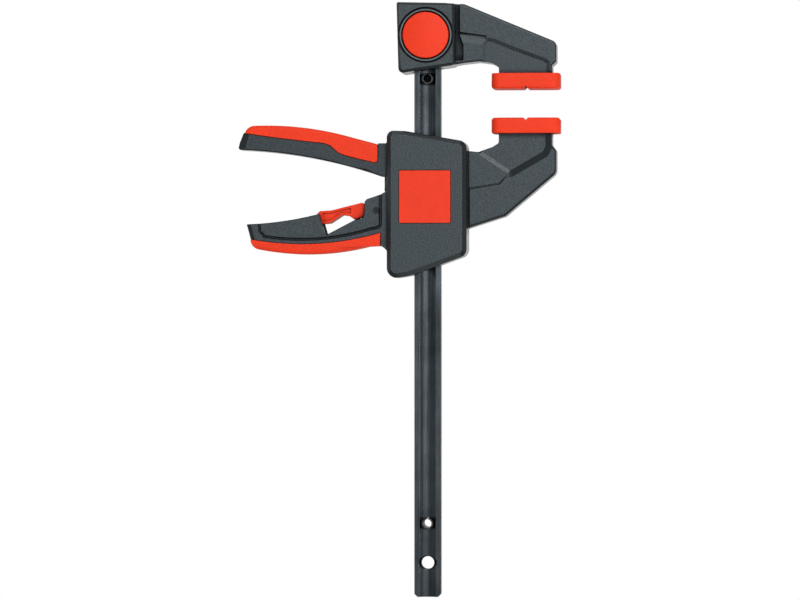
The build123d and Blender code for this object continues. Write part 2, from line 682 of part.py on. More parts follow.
def tongue_window():
    """Where the brake plate's tongue passes the box's left wall."""
    return outline((-26.0, -62.6, 0), (-19.0, -62.6, 0), (-19.0, -56.6, 0), (-26.0, -56.6, 0))


def fulcrum_centre():
    """Z of the fulcrum pin, just above the upper brake plate."""
    return FULCRUM_Z + FULCRUM_PIN / 2 + FULCRUM_GAP


def fulcrum_rib():
    """Rib on the cavity's right wall that carries the fulcrum pin."""
    low = FULCRUM_Z + 1.9
    rib = outline((FAR, low + 5.6, 0), (14.6, low + 3.6, 0.8), (14.6, low, 0), (FAR, low, 0))
    return slab(rib, -FAR, FAR)


def upper_guide_line():
    side = GUIDE_SIDE
    return outline(
        (-side, -11.8, 0),
        (-side, -9.0, 0),
        (side, -12.6, 0),
        (side, -15.9, 0),
        (-6.5, -15.9, 0),
        (-6.5, -11.8, 0),
    )


def lower_guide_line():
    side = GUIDE_SIDE
    return outline(
        (-side, -84.6, 0), (side, -78.6, 0), (side, CAVITY_FLOOR, 0), (-side, CAVITY_FLOOR, 0)
    )


def make_guide(line):
    """Wear shoe: a ring that the bar slides through, let into the box's end."""
    half_x, half_y = BAR_WIDTH / 2 + GUIDE_FIT, BAR_THICK / 2 + GUIDE_FIT
    guide = slab(line, -GUIDE_HALF, GUIDE_HALF)
    return guide - boxed(-half_x, half_x, CAVITY_FLOOR - FAR, 0, -half_y, half_y)


def make_cover(side):
    """Bevelled shell over one face of the box. side is -1 in front and +1 at the rear."""
    low, high = sorted((side * BOX_HALF, side * COVER_Y))
    cover = slab(box_outline(), low, high)
    cover = chamfer(level_edges(cover, side * COVER_Y), COVER_BEVEL)
    cover = fillet(level_edges(cover, side * COVER_Y), COVER_EDGE_ROUND)
    x, z = TRIGGER_PIVOT[0], TRIGGER_PIVOT[1]
    low, high = sorted((side * (BOX_HALF - 1), side * (BOX_HALF + COVER_BORE)))
    cover -= rod(x, z, TRIGGER_PIN / 2, low, high)
    for x, dz in COVER_SCREWS:
        if side < 0:
            cover -= rod(x, dz, SCREW / 2, -BOX_HALF - COVER_BORE, 0)
        else:
            cover -= rod(x, dz, SCREW_HOLE / 2, 0, FAR)
            cover -= rod(x, dz, SCREW_HEAD / 2 + HEAD_ROOM, COVER_Y - SCREW_HEAD_HEIGHT, FAR)
    if side < 0:
        deep = BADGE_THICK - BADGE_PROUD
        cover -= slab(badge_outline(BADGE_ROOM), -COVER_Y - 1, -COVER_Y + deep)
    return cover


def badge_outline(extra=0.0):
    """Square of the badge, grown by extra all round."""
    width, height = BADGE_SIZE
    return Pos(BADGE_X, -BADGE_DROP) * RectangleRounded(width + 2 * extra, height + 2 * extra, 0.8)


def make_badge():
    badge = slab(badge_outline(), -COVER_Y - BADGE_PROUD, -COVER_Y + BADGE_THICK - BADGE_PROUD)
    return fillet(level_edges(badge, -COVER_Y - BADGE_PROUD), 0.2)


# ---- soft grips ----


def make_lower_grip():
    """Soft overmould under the lower handle, round a rib of the core."""
    half = HANDLE_HALF + GRIP_PROUD
    grip = slab(grip_line(0.0), -half, half)
    rim = level_edges(grip, -half) + level_edges(grip, half)
    low_rim = rim.sort_by(Axis.Z)[:2]
    grip = fillet(low_rim, LOWER_GRIP_ROUND)
    return grip - slab(grip_line(GRIP_SKIN), -RIB_HALF, RIB_HALF)


def trigger_low():
    """Underside of the trigger's core."""
    return ThreePointArc((-104.9, -17.5), (-64.0, -22.2), (-26.3, -32.3))


def trigger_split():
    """Where the soft grip meets the trigger's core, from the free end to the root."""
    upper = ThreePointArc((-102.3, -8.1), (-80.0, -11.3), (-57.8, -13.8))
    drop = Polyline(
        (-57.8, -13.8), (-54.4, -15.0), (-49.6, -19.2), (-46.2, -20.6), (-29.6, -24.8),
        (-27.9, -24.3), (-27.6, -22.8),
    )
    return upper, drop


def make_trigger_lever():
    """Upper handle: a bent lever whose cheeks straddle the box's spine and meet in a hub."""
    half = TRIGGER_HALF
    upper, drop = trigger_split()
    end = Polyline((-104.9, -17.5), (-106.0, -16.6), (-105.2, -13.1), (-103.0, -7.9), (-102.3, -8.1))
    root = Polyline((-27.6, -22.8), (-27.4, -14.0), (-22.5, -14.0), (-18.0, -12.9))
    hub_side = Polyline((-18.0, -12.9), (-16.5, -21.6), (-21.0, -26.0), (-21.4, -32.6), (-26.3, -32.3))
    core = make_face(Curve() + [trigger_low(), end, upper, drop, root, hub_side])
    lever = slab(core, -half, half)
    rim = level_edges(lever, -half) + level_edges(lever, half)
    lever = fillet([edge for edge in rim if edge.length > 60.0], TRIGGER_ROUND)
    lever -= end_bevels((-106.0, -17.0), (-102.9, -6.8), TRIGGER_END_BEVEL, half)
    lever += slab(trigger_rib(), -RIB_HALF, RIB_HALF)
    x, z_pivot = TRIGGER_PIVOT[0], TRIGGER_PIVOT[1]
    lever += rod(x, z_pivot, HUB_RADIUS, -half, half)
    nose = (x + NOSE_AT[0], z_pivot + NOSE_AT[1])
    # between the cheeks the root is cut back to clear the spine over the whole swing
    saddle_half = SPINE_HALF + CHEEK_GAP
    saddle = outline(
        (-25.6, -9.0, 0), (-25.6, -17.0, 0), (-35.2, -36.5, 0), (-16.0, -40.0, 0), (-16.0, -9.0, 0)
    )
    lever -= slab(saddle, -saddle_half, saddle_half) - rod(x, z_pivot, HUB_RADIUS, -half, half)
    web = slab(capsule(TRIGGER_PIVOT[0], z_pivot, *nose, NOSE_RADIUS), -saddle_half, saddle_half)
    lever += web
    return lever - rod(x, z_pivot, TRIGGER_PIN / 2 + BUSH_WALL, -FAR, FAR)


def capsule(x1, z1, x2, z2, radius):
    """Round-ended bar outline between two points."""
    ends = Pos(x1, z1) * Circle(radius) + Pos(x2, z2) * Circle(radius)
    return make_hull(ends.edges())


def trigger_top(inset):
    return ThreePointArc((-97.0, -4.0 - inset), (-68.0, -5.3 - inset), (-42.0, -10.7 - inset))


def trigger_rib():
    """Rib of the core inside the trigger's grip."""
    inset = GRIP_SKIN
    top = trigger_top(inset)
    right = Polyline((-42.0, -10.7 - inset), (-29.6, -14.0 - inset), (-29.6, -24.8))
    left = Polyline((-100.1, -8.4), (-97.0, -4.0 - inset))
    low = Polyline((-29.6, -24.8), (-46.2, -20.6), (-49.6, -19.2), (-54.4, -15.0), (-57.8, -13.8))
    back = ThreePointArc((-57.8, -13.8), (-80.0, -11.3), (-100.1, -8.4))
    return make_face(Curve() + [top, right, low, back, left])


def make_trigger_grip():
    """Soft overmould on top of the trigger."""
    half = TRIGGER_HALF + GRIP_PROUD
    upper, drop = trigger_split()
    slope = Polyline((-42.0, -10.7), (-28.4, -14.3), (-27.6, -15.2), (-27.6, -22.8))
    top = trigger_top(0.0)
    end = TangentArc(top @ 0, (-102.3, -8.1), tangent=-(top % 0))
    grip = slab(make_face(Curve() + [top, slope, drop, upper, end]), -half, half)
    rim = level_edges(grip, -half) + level_edges(grip, half)
    top_rim = rim.sort_by(Axis.Z)[-4:]
    grip = fillet(top_rim, TRIGGER_GRIP_ROUND)
    return grip - slab(trigger_rib(), -RIB_HALF, RIB_HALF)


# ---- release lever ----


def make_release_lever():
    """Red lever between the lower handle's cheeks. Its low point presses the brake plate's tongue."""
    lever = outline(
        (-62.4, -53.9, 0.6),
        (-60.2, -51.7, 1.0),
        (-54.0, -51.4, 12.0),
        (-36.8, -47.1, 0),
        (-35.4, -47.6, 0.4),
        (-30.0, -48.0, 1.5),
        (-25.2, -49.0, 2.0),
        (-25.2, -54.6, 2.0),
        (-32.0, -55.6, 2.0),
        (-36.6, -55.0, 1.0),
        (-40.6, -56.7, 0.8),
        (-43.6, -54.6, 1.5),
        (-47.6, -54.0, 2.0),
        (-54.6, -58.6, 2.0),
        (-60.2, -59.1, 0.8),
    )
    lever = slab(lever, -RELEASE_HALF, RELEASE_HALF)
    rim = level_edges(lever, -RELEASE_HALF) + level_edges(lever, RELEASE_HALF)
    lever = fillet(rim, RELEASE_ROUND)
    pocket = outline(
        (-58.9, -53.1, 0.4),
        (-54.0, -52.8, 6.0),
        (-42.8, -50.0, 0.5),
        (-42.8, -53.0, 0.5),
        (-48.0, -52.6, 1.2),
        (-55.1, -57.2, 0.8),
        (-58.6, -57.6, 0.4),
    )
    lever -= both_ways(slab(pocket, RELEASE_HALF - RELEASE_POCKET, FAR))
    radius = RELEASE_PIN / 2 + RELEASE_BUSH_WALL
    return lever - rod(RELEASE_PIVOT[0], RELEASE_PIVOT[1], radius, -FAR, FAR)


def make_pin(x, z, diameter, half):
    """Plain steel pin along Y with a small chamfer at both ends."""
    pin = rod(x, z, diameter / 2, -half, half)
    return chamfer(level_edges(pin, -half) + level_edges(pin, half), PIN_LEAD)


def make_release_pin():
    """The release lever's pin, with a centre hole in each end."""
    half = HANDLE_HALF - PIN_SUNK
    pin = make_pin(*RELEASE_PIVOT, RELEASE_PIN, half)
    return pin - both_ways(rod(*RELEASE_PIVOT, PIN_CENTRE / 2, half - PIN_CENTRE, FAR))


def make_bush(x, z, inner, wall, half):
    """Plain bush with a running fit on its pin."""
    outer = rod(x, z, inner / 2 + wall, -half, half)
    return outer - rod(x, z, inner / 2 + BUSH_FIT, -FAR, FAR)


# ---- plates ----


def drive_plate_top():
    """Z of the upper drive plate's top face, just below the trigger's nose."""
    return TRIGGER_PIVOT[1] + NOSE_AT[1] - NOSE_RADIUS - NOSE_GAP


def plate_outline(left, right, tongue_left, gap):
    """Plan of a plate in X and Y: a wide part round the bar's slot, and a narrow tongue."""
    wide = Polyline(
        (right, -PLATE_HALF),
        (right, PLATE_HALF),
        (left, PLATE_HALF),
        (left, TONGUE_HALF),
        (tongue_left, TONGUE_HALF),
        (tongue_left, -TONGUE_HALF),
        (left, -TONGUE_HALF),
        (left, -PLATE_HALF),
        close=True,
    )
    slot = Rectangle(BAR_WIDTH + 2 * gap, BAR_THICK + 2 * gap)
    return make_face(wide) - slot


def make_drive_plate(index):
    top = drive_plate_top() - index * (PLATE_THICK + PLATE_GAP)
    plan = plate_outline(TONGUE_ROOT, DRIVE_PLATE_RIGHT, DRIVE_TONGUE_LEFT, DRIVE_SLOT_SIDE)
    return extrude(Pos(0, 0, top - PLATE_THICK) * plan, amount=PLATE_THICK)


def make_brake_plate(index):
    """Tilted plate: its right end bears under the fulcrum, its left end is sprung up."""
    tilt = radians(BRAKE_TILT)
    top_at_bar = FULCRUM_Z + FULCRUM_X * tan(tilt)
    down = (index + 0.5) * PLATE_THICK + index * PLATE_GAP
    middle_z = top_at_bar - down / cos(tilt)
    tongue = BRAKE_TONGUE_LEFT / cos(tilt) if index == 0 else SHORT_TONGUE_LEFT
    right = (FULCRUM_X + FULCRUM_OVERHANG) / cos(tilt)
    plan = plate_outline(BRAKE_TONGUE_ROOT, right, tongue, BRAKE_SLOT_SIDE)
    plate = extrude(Pos(0, 0, -PLATE_THICK / 2) * plan, amount=PLATE_THICK)
    return Pos(0, 0, middle_z) * Rot(0, BRAKE_TILT, 0) * plate


def brake_stack_bottom(x):
    """Z of the brake plates' underside at x."""
    tilt = radians(BRAKE_TILT)
    top = FULCRUM_Z + (FULCRUM_X - x) * tan(tilt)
    return top - (2 * PLATE_THICK + PLATE_GAP) / cos(tilt)


def make_drive_spring():
    seat = RIB_TOP
    top = drive_plate_top() - 2 * PLATE_THICK - PLATE_GAP
    height = top - seat - 2 * SPRING_SEAT
    return Pos(0, 0, seat + SPRING_SEAT) * coil(DRIVE_COIL, DRIVE_WIRE, height, DRIVE_TURNS)


def make_brake_spring():
    seat = CAVITY_FLOOR
    reach = BRAKE_COIL / 2 + BRAKE_WIRE
    top = brake_stack_bottom(BRAKE_COIL_X + reach)
    height = top - seat - 3 * SPRING_SEAT
    return Pos(BRAKE_COIL_X, 0, seat + SPRING_SEAT) * coil(BRAKE_COIL, BRAKE_WIRE, height, BRAKE_TURNS)


# ---- write every node ----

os.makedirs("parts", exist_ok=True)

save("bar", make_bar())
save("lower_stop_pin", make_stop_pin(STOP_TO_HOLE))
save("upper_stop_pin", make_stop_pin(HOLE_SPAN - STOP_TO_HOLE))

save("fixed_jaw", make_fixed_jaw(), Z_FIXED)
save("fixed_jaw_pad", make_pad(-1), Z_FIXED)
save("fixed_jaw_back_plate", make_back_plate(), Z_FIXED)
jaw_head = BLOCK_HALF + JAW_SCREW_PROUD
jaw_length = jaw_head - SCREW_HEAD_HEIGHT - JAW_SCREW_TIP
jaw_screws = [screw(x, LOCK_UP + dz, jaw_head, jaw_length) for x, dz in JAW_SCREWS]
save("fixed_jaw_screws", Compound(children=jaw_screws), Z_FIXED)
save("button_ring", make_bezel(), Z_FIXED)
save("button_spring", make_button_spring(), Z_FIXED)
save("lock_button", make_lock_button(), Z_FIXED)
save("lock_yoke", make_lock_yoke(), Z_FIXED)
save("lock_pin", make_lock_pin(), Z_FIXED)

save("sliding_jaw", make_sliding_jaw(), Z_SLIDE)
save("sliding_jaw_pad", make_pad(1), Z_SLIDE)
save("front_cover", make_cover(-1), Z_SLIDE)
save("rear_cover", make_cover(1), Z_SLIDE)
save("front_badge", make_badge(), Z_SLIDE)
cover_length = COVER_DEPTH - SCREW_HEAD_HEIGHT + 2 * BOX_HALF + COVER_BORE - PIN_END
cover_screws = [screw(x, dz, COVER_Y, cover_length) for x, dz in COVER_SCREWS]
save("cover_screws", Compound(children=cover_screws), Z_SLIDE)
save("lower_grip", make_lower_grip(), Z_SLIDE)
save("upper_guide", make_guide(upper_guide_line()), Z_SLIDE)
save("lower_guide", make_guide(lower_guide_line()), Z_SLIDE)
save("trigger_pin", make_pin(*TRIGGER_PIVOT, TRIGGER_PIN, BOX_HALF + COVER_BORE - PIN_END), Z_SLIDE)
save("release_pin", make_release_pin(), Z_SLIDE)
save("brake_fulcrum", make_pin(FULCRUM_X, fulcrum_centre(), FULCRUM_PIN, BOX_HALF - PIN_END), Z_SLIDE)
save("drive_spring", make_drive_spring(), Z_SLIDE)
save("brake_spring", make_brake_spring(), Z_SLIDE)
save("trigger_lever", make_trigger_lever(), Z_SLIDE)
save("trigger_grip", make_trigger_grip(), Z_SLIDE)
save("trigger_bush", make_bush(*TRIGGER_PIVOT, TRIGGER_PIN, BUSH_WALL, TRIGGER_HALF), Z_SLIDE)
save("release_lever", make_release_lever(), Z_SLIDE)
save("release_bush", make_bush(*RELEASE_PIVOT, RELEASE_PIN, RELEASE_BUSH_WALL, RELEASE_HALF), Z_SLIDE)
for number in (1, 2):
    save(f"drive_plate_{number}", make_drive_plate(number - 1), Z_SLIDE)
    save(f"brake_plate_{number}", make_brake_plate(number - 1), Z_SLIDE)
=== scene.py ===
from math import cos, pi, radians, sin

import bmesh
import bpy
import numpy as np
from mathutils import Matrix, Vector


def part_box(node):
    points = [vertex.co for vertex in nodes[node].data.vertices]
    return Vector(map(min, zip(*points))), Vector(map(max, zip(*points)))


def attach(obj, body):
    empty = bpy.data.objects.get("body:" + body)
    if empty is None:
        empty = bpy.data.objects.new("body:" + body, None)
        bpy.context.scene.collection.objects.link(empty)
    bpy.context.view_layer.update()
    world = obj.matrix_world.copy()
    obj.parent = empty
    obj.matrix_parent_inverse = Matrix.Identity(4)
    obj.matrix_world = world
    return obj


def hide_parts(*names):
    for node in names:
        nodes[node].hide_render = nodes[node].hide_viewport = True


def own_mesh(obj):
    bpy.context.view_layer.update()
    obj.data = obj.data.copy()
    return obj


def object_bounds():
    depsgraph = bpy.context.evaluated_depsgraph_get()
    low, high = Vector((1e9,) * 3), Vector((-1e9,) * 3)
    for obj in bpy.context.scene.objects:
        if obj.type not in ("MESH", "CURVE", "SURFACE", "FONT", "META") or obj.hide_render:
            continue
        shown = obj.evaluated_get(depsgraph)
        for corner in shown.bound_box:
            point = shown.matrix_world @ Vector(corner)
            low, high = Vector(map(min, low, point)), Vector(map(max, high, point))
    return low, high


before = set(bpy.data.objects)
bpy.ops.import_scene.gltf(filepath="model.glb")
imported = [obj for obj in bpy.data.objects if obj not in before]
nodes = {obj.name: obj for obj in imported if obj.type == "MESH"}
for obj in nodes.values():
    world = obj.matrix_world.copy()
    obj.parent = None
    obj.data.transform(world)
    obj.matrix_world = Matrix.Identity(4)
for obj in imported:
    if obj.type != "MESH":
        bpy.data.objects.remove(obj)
solid_box = [list(corner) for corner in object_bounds()]
MM = 0.001


# ---- view ----
# The clamp stands upright and is seen through a long lens, level with its middle and a few
# degrees round to the right, so that the right-hand walls of its box and jaws just show.

VIEW_AIM = Vector((-15.8 * MM, 0.0, 146.8 * MM))
VIEW_DISTANCE = 2.3
VIEW_TURN = radians(4.5)
LENS = 184.8  # focal length in mm, on film as wide as FILM
FILM = 36.0
camera = bpy.data.objects.new("camera", bpy.data.cameras.new("camera"))
camera.data.lens = LENS
camera.data.sensor_width = FILM
camera.location = VIEW_AIM + VIEW_DISTANCE * Vector((sin(VIEW_TURN), -cos(VIEW_TURN), 0.0))
camera.rotation_euler = (radians(90), 0.0, VIEW_TURN)
bpy.context.scene.collection.objects.link(camera)
bpy.context.scene.camera = camera
bpy.context.scene.view_settings.view_transform = "Standard"


# ---- studio ----
# A pale floor well below the clamp and white all round. Soft boxes by the lens and steeply above
# it light the open faces, a strip and a narrow box on the right draw edges and walls, and weaker
# ones overhead, below and behind fill in the rest.

MIDDLE = Vector((0.0, 0.0, 0.17))  # where the lamps aim
FILL = 0.14  # strength of the white surround for rays that don't show it
FLOOR_DROP = 80 * MM
FLOOR_HALF = 14.0
FLOOR_PALE = 0.86
PALE_REACH = 0.5  # the floor is matt and pale this far from the clamp
WHITE_REACH = 1.0  # and plain white from here on


def node(tree, kind, inputs=None, **settings):
    """A shader node of that kind. inputs maps a socket's name or number to a value or to an output."""
    made = tree.nodes.new(kind if kind.startswith("Node") else "ShaderNode" + kind)
    for name, value in settings.items():
        setattr(made, name, value)
    for key, value in (inputs or {}).items():
        if isinstance(value, bpy.types.NodeSocket):
            tree.links.new(value, made.inputs[key])
        else:
            made.inputs[key].default_value = value
    return made


def maths(tree, operation, *values, clamp=False):
    """The result of one sum on values, each a number or another node's output."""
    made = node(tree, "Math", dict(enumerate(values)), operation=operation, use_clamp=clamp)
    return made.outputs[0]


def ranged(tree, value, start, end, low=0.0, high=1.0):
    """A result that runs from low to high as value goes from start to end, and stays within them."""
    given = {"Value": value, "From Min": start, "From Max": end, "To Min": low, "To Max": high}
    return node(tree, "MapRange", given).outputs[0]


def seen_white(tree):
    """1 for the rays that show a background: straight from the camera, mirrored or let through."""
    rays = node(tree, "LightPath").outputs
    mirrored = maths(tree, "MAXIMUM", rays["Is Glossy Ray"], rays["Is Transmission Ray"])
    return maths(tree, "MAXIMUM", rays["Is Camera Ray"], mirrored)


def soft_box(name, place, size, power):
    """A rectangular lamp at place that faces the clamp's middle."""
    lamp = bpy.data.lights.new(name, "AREA")
    lamp.shape = "RECTANGLE"
    lamp.size, lamp.size_y = size
    lamp.energy = power
    box = bpy.data.objects.new(name, lamp)
    box.location = place
    box.rotation_euler = (MIDDLE - Vector(place)).to_track_quat("-Z", "Y").to_euler()
    bpy.context.scene.collection.objects.link(box)


world = bpy.data.worlds.new("white surround")
world.use_nodes = True
bpy.context.scene.world = world
tree = world.node_tree
tree.nodes.clear()
level = maths(tree, "MAXIMUM", seen_white(tree), FILL)
white = node(tree, "Background", {"Color": (1.0, 1.0, 1.0, 1.0), "Strength": level})
node(tree, "OutputWorld", {"Surface": white.outputs[0]})

# name, place, width and height in metres, and watts
soft_box("lens_box", (0.30, -2.6, 0.30), (1.0, 1.4), 17.0)
soft_box("strip_box", (1.0, -2.2, 0.25), (0.14, 1.6), 8.0)
soft_box("top_box", (0.45, -1.62, 1.42), (1.0, 0.4), 22.0)
soft_box("crown_box", (0.0, -0.20, 1.90), (0.9, 0.3), 3.5)
soft_box("under_box", (0.40, -0.10, -1.30), (0.5, 0.25), 4.5)
soft_box("right_box", (1.9, -1.00, 0.10), (0.08, 1.4), 7.0)
soft_box("back_box", (-1.0, 2.1, 1.1), (1.3, 1.2), 26.0)

floor_height = solid_box[0][2] - FLOOR_DROP
corner_signs = ((-1, -1), (1, -1), (1, 1), (-1, 1))
corners = [(x * FLOOR_HALF, y * FLOOR_HALF, floor_height) for x, y in corner_signs]
floor_mesh = bpy.data.meshes.new("floor")
floor_mesh.from_pydata(corners, [], [(0, 1, 2, 3)])
floor = bpy.data.objects.new("floor", floor_mesh)
bpy.context.scene.collection.objects.link(floor)
floor.visible_shadow = False
pale = bpy.data.materials.new("pale floor")
pale.use_nodes = True
tree = pale.node_tree
tree.nodes.clear()
matt = node(tree, "BsdfDiffuse", {"Color": (FLOOR_PALE, FLOOR_PALE, FLOOR_PALE, 1.0)})
glow = node(tree, "Emission", {"Color": (1.0, 1.0, 1.0, 1.0), "Strength": 1.0})
position = node(tree, "NewGeometry").outputs["Position"]
reach = node(tree, "VectorMath", {0: position}, operation="LENGTH").outputs["Value"]
to_white = maths(tree, "MULTIPLY", ranged(tree, reach, PALE_REACH, WHITE_REACH), seen_white(tree))
mixed = node(tree, "MixShader", {0: to_white, 1: matt.outputs[0], 2: glow.outputs[0]})
node(tree, "OutputMaterial", {"Surface": mixed.outputs[0]})
floor_mesh.materials.append(pale)


# ---- bar ----
# Cold-drawn carbon steel with a shallow hollow along both faces, punched near each end, then
# blued black. The drawing die leaves fine lines along it and the oil a few cloudy patches.

BAR_EASE = 0.25 * MM  # width of the rounding along its edges
BLUED_DARK = (0.015, 0.0185, 0.021)
BLUED_LIGHT = (0.043, 0.050, 0.056)
# colour that the bar's edges turn to, a painted highlight
BLUED_EDGE_HIGHLIGHT = (0.09, 0.10, 0.105)
DRAWN_PITCH = 0.4 * MM
LINE_STRETCH = 0.011  # thickness of a drawn line as a share of its length
LINE_RELIEF = 0.02 * MM

WELD = 0.001 * MM  # corners nearer than this are one
SAME_FLAT = 0.5  # degrees between the triangles of one flat
ROUNDED = 41.0  # degrees of turn above which an edge is rounded over
FACETS = 2  # across a rounded edge
RUNS_ON = 0.86  # cosine of the bend within which an edge only runs on
ROOM = 1.5  # width of face that a rounding needs, as a share of its own
WIDE = 1.8 * MM  # a wider face is a flat of its own, and a narrower one part of a curve
FLATS_CREASE = 12  # degrees of turn above which two wide faces meet in a crease
END_CREASE = 20  # the same where a wide face meets a narrow one
CURVE_CREASE = 28  # the same between two narrow ones


def has_room(edge, width):
    """Whether both faces beside an edge are wide enough at its ends for a strip of that width. An
    edge that only runs on in about the same line doesn't count as an end."""
    for loop in edge.link_loops:
        start, end = loop.vert.co, loop.link_loop_next.vert.co
        along = (end - start).normalized()
        before = loop.link_loop_prev.vert.co - start
        after = loop.link_loop_next.link_loop_next.vert.co - end
        for side, heading in ((before, -along), (after, along)):
            if side.dot(heading) > RUNS_ON * side.length:
                continue
            if side.cross(along).length < ROOM * width:
                return False
    return True


def crease_turn(edge):
    """Degrees of turn above which an edge stays a crease in the shading, by its faces' widths."""
    widths = [face.calc_area() / edge.calc_length() for face in edge.link_faces]
    if min(widths) > WIDE:
        return FLATS_CREASE
    return END_CREASE if max(widths) > WIDE else CURVE_CREASE


def less(mesh, boxes):
    """A closed mesh less some boxes, each given by two opposite corners."""
    body = bpy.data.objects.new("to be slotted", mesh)
    cutter = bpy.data.objects.new("cutter", bpy.data.meshes.new("cutter"))
    form = bmesh.new()
    for first, second in boxes:
        first, second = np.array(first), np.array(second)
        cube = bmesh.ops.create_cube(form, size=1.0)["verts"]
        bmesh.ops.scale(form, vec=Vector(np.abs(second - first)), verts=cube)
        bmesh.ops.translate(form, vec=Vector((first + second) / 2), verts=cube)
    form.to_mesh(cutter.data)
    form.free()
    for thing in (body, cutter):
        bpy.context.scene.collection.objects.link(thing)
    cut = body.modifiers.new("slots", "BOOLEAN")
    cut.object = cutter
    cut.solver = "EXACT"
    result = bpy.data.meshes.new_from_object(body.evaluated_get(bpy.context.evaluated_depsgraph_get()))
    for thing in (body, cutter):
        bpy.data.objects.remove(thing)
    return result


def welded(mesh):
    """A mesh opened for editing, with its loose triangles joined at their corners."""
    form = bmesh.new()
    form.from_mesh(mesh)
    bmesh.ops.remove_doubles(form, verts=form.verts, dist=WELD)
    return form


def shell_of(name, ease, slots=()):
    """A copy of a solid's surface, less any slots: its triangles are merged into flats, and its sharp
    edges are rounded over by a strip ease metres wide where there is room for it."""
    mesh = nodes[name].data.copy()
    mesh.materials.clear()
    form = welded(mesh)
    if slots:
        form.to_mesh(mesh)
        form.free()
        mesh = less(mesh, slots)
        form = welded(mesh)
    bmesh.ops.dissolve_limit(
        form,
        angle_limit=radians(SAME_FLAT),
        use_dissolve_boundaries=False,
        verts=form.verts,
        edges=form.edges,
    )
    weight = form.edges.layers.float.new("bevel_weight_edge")
    for edge in form.edges:
        turn = edge.calc_face_angle(0.0)
        if turn > radians(ROUNDED) and has_room(edge, ease):
            edge[weight] = 1.0
        elif turn > radians(crease_turn(edge)):
            edge.smooth = False
    form.to_mesh(mesh)
    form.free()
    if "custom_normal" in mesh.attributes:
        mesh.attributes.remove(mesh.attributes["custom_normal"])
    mesh.shade_smooth()
    piece = bpy.data.objects.new(name + "_body", mesh)
    bpy.context.scene.collection.objects.link(piece)
    bevel = piece.modifiers.new("rounded edges", "BEVEL")
    bevel.width = ease
    bevel.segments = FACETS
    bevel.limit_method = "WEIGHT"
    bevel.use_clamp_overlap = False
    bevel.harden_normals = True
    bevel.miter_outer = "MITER_ARC"
    flats = piece.modifiers.new("even flats", "WEIGHTED_NORMAL")
    flats.keep_sharp = True
    return piece


def fit(piece, body, slot, material, *stands_for):
    """Gives a piece its finish and its body, and hides the solids that it stands for."""
    piece.data.materials.clear()
    piece.data.materials.append(material)
    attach(piece, body)
    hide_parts(*stands_for)


def new_group(name, inputs, outputs):
    """An empty shader node group, and what it is given. It takes Place, a vector, and the numbers in
    inputs (name: value), and puts out numbers named in outputs."""
    group = bpy.data.node_groups.new(name, "ShaderNodeTree")
    group.interface.new_socket(name="Place", in_out="INPUT", socket_type="NodeSocketVector")
    for label, value in inputs.items():
        socket = group.interface.new_socket(name=label, in_out="INPUT", socket_type="NodeSocketFloat")
        socket.default_value = value
    for label in outputs:
        group.interface.new_socket(name=label, in_out="OUTPUT", socket_type="NodeSocketFloat")
    return group, node(group, "NodeGroupInput").outputs


def noise(tree, place, scale, detail, roughness=0.5):
    """Fractal noise from 0 to 1 over place, with scale lumps to a metre."""
    given = {"Vector": place, "Scale": scale, "Detail": detail, "Roughness": roughness}
    return node(tree, "TexNoise", given).outputs["Fac"]


def drawn_lines():
    """Fine lines along Z and cloudy oil patches. Lines is noise that is drawn out along the bar."""
    group, given = new_group("drawn lines", {"Pitch": DRAWN_PITCH}, ("Lines", "Clouds"))
    fine = maths(group, "DIVIDE", 1.0, given["Pitch"])
    drawn_out = node(group, "Mapping", {"Vector": given["Place"], "Scale": (1.0, 1.0, LINE_STRETCH)})
    lines = noise(group, drawn_out.outputs[0], fine, 3.0, 0.6)
    clouds = noise(group, given["Place"], 55.0, 4.0)
    node(group, "NodeGroupOutput", {"Lines": lines, "Clouds": clouds})
    return group


def edge_highlights():
    """Mask of edges for a painted highlight: how far the surface's normal departs from one rounded
    over Radius, broken up by noise. Edge is 0 on flats and up to 1 along edges, which the materials
    turn paler and smoother."""
    group, given = new_group("painted edge highlights", {"Radius": 0.6 * MM, "Gain": 9.0}, ("Edge",))
    rounded = node(group, "Bevel", {"Radius": given["Radius"]}, samples=6).outputs["Normal"]
    flat = node(group, "NewGeometry").outputs["Normal"]
    match = node(group, "VectorMath", {0: rounded, 1: flat}, operation="DOT_PRODUCT").outputs["Value"]
    strong = maths(group, "MULTIPLY", maths(group, "SUBTRACT", 1.0, match), given["Gain"], clamp=True)
    broken = ranged(group, noise(group, given["Place"], 260.0, 3.0), 0.3, 0.62)
    node(group, "NodeGroupOutput", {"Edge": maths(group, "MULTIPLY", strong, broken)})
    return group


def painted_crevice_shade():
    """Painted shade for grooves, gaps and inner corners: an ambient-occlusion mask that darkens the
    colour where less light reaches. Shade grows from 0 to 1 as the open part of the sky within Reach
    shrinks."""
    group, given = new_group("painted_crevice_shade", {"Reach": 4.5 * MM}, ("Shade",))
    near = node(group, "AmbientOcclusion", {"Distance": given["Reach"]}, samples=6)
    node(group, "NodeGroupOutput", {"Shade": ranged(group, near.outputs["AO"], 0.78, 0.48)})
    return group


DRAWN_LINES = drawn_lines()
EDGE_HIGHLIGHTS = edge_highlights()
PAINTED_CREVICE_SHADE = painted_crevice_shade()


def finish_of(name, **constants):
    """A new material with one Principled shader whose plain sockets are set straight away."""
    material = bpy.data.materials.new(name)
    material.use_nodes = True
    tree = material.node_tree
    shader = tree.nodes["Principled BSDF"]
    for label, value in constants.items():
        shader.inputs[label.replace("_", " ")].default_value = value
    place = node(tree, "TexCoord").outputs["Object"]
    return material, tree, shader, place


def blended(tree, share, first, second):
    """A colour that runs from first to second as share goes from 0 to 1."""
    mix = node(tree, "Mix", {0: share}, data_type="RGBA")
    for key, colour in ((6, first), (7, second)):
        if isinstance(colour, bpy.types.NodeSocket):
            tree.links.new(colour, mix.inputs[key])
        else:
            mix.inputs[key].default_value = (*colour, 1.0)
    return mix.outputs[2]


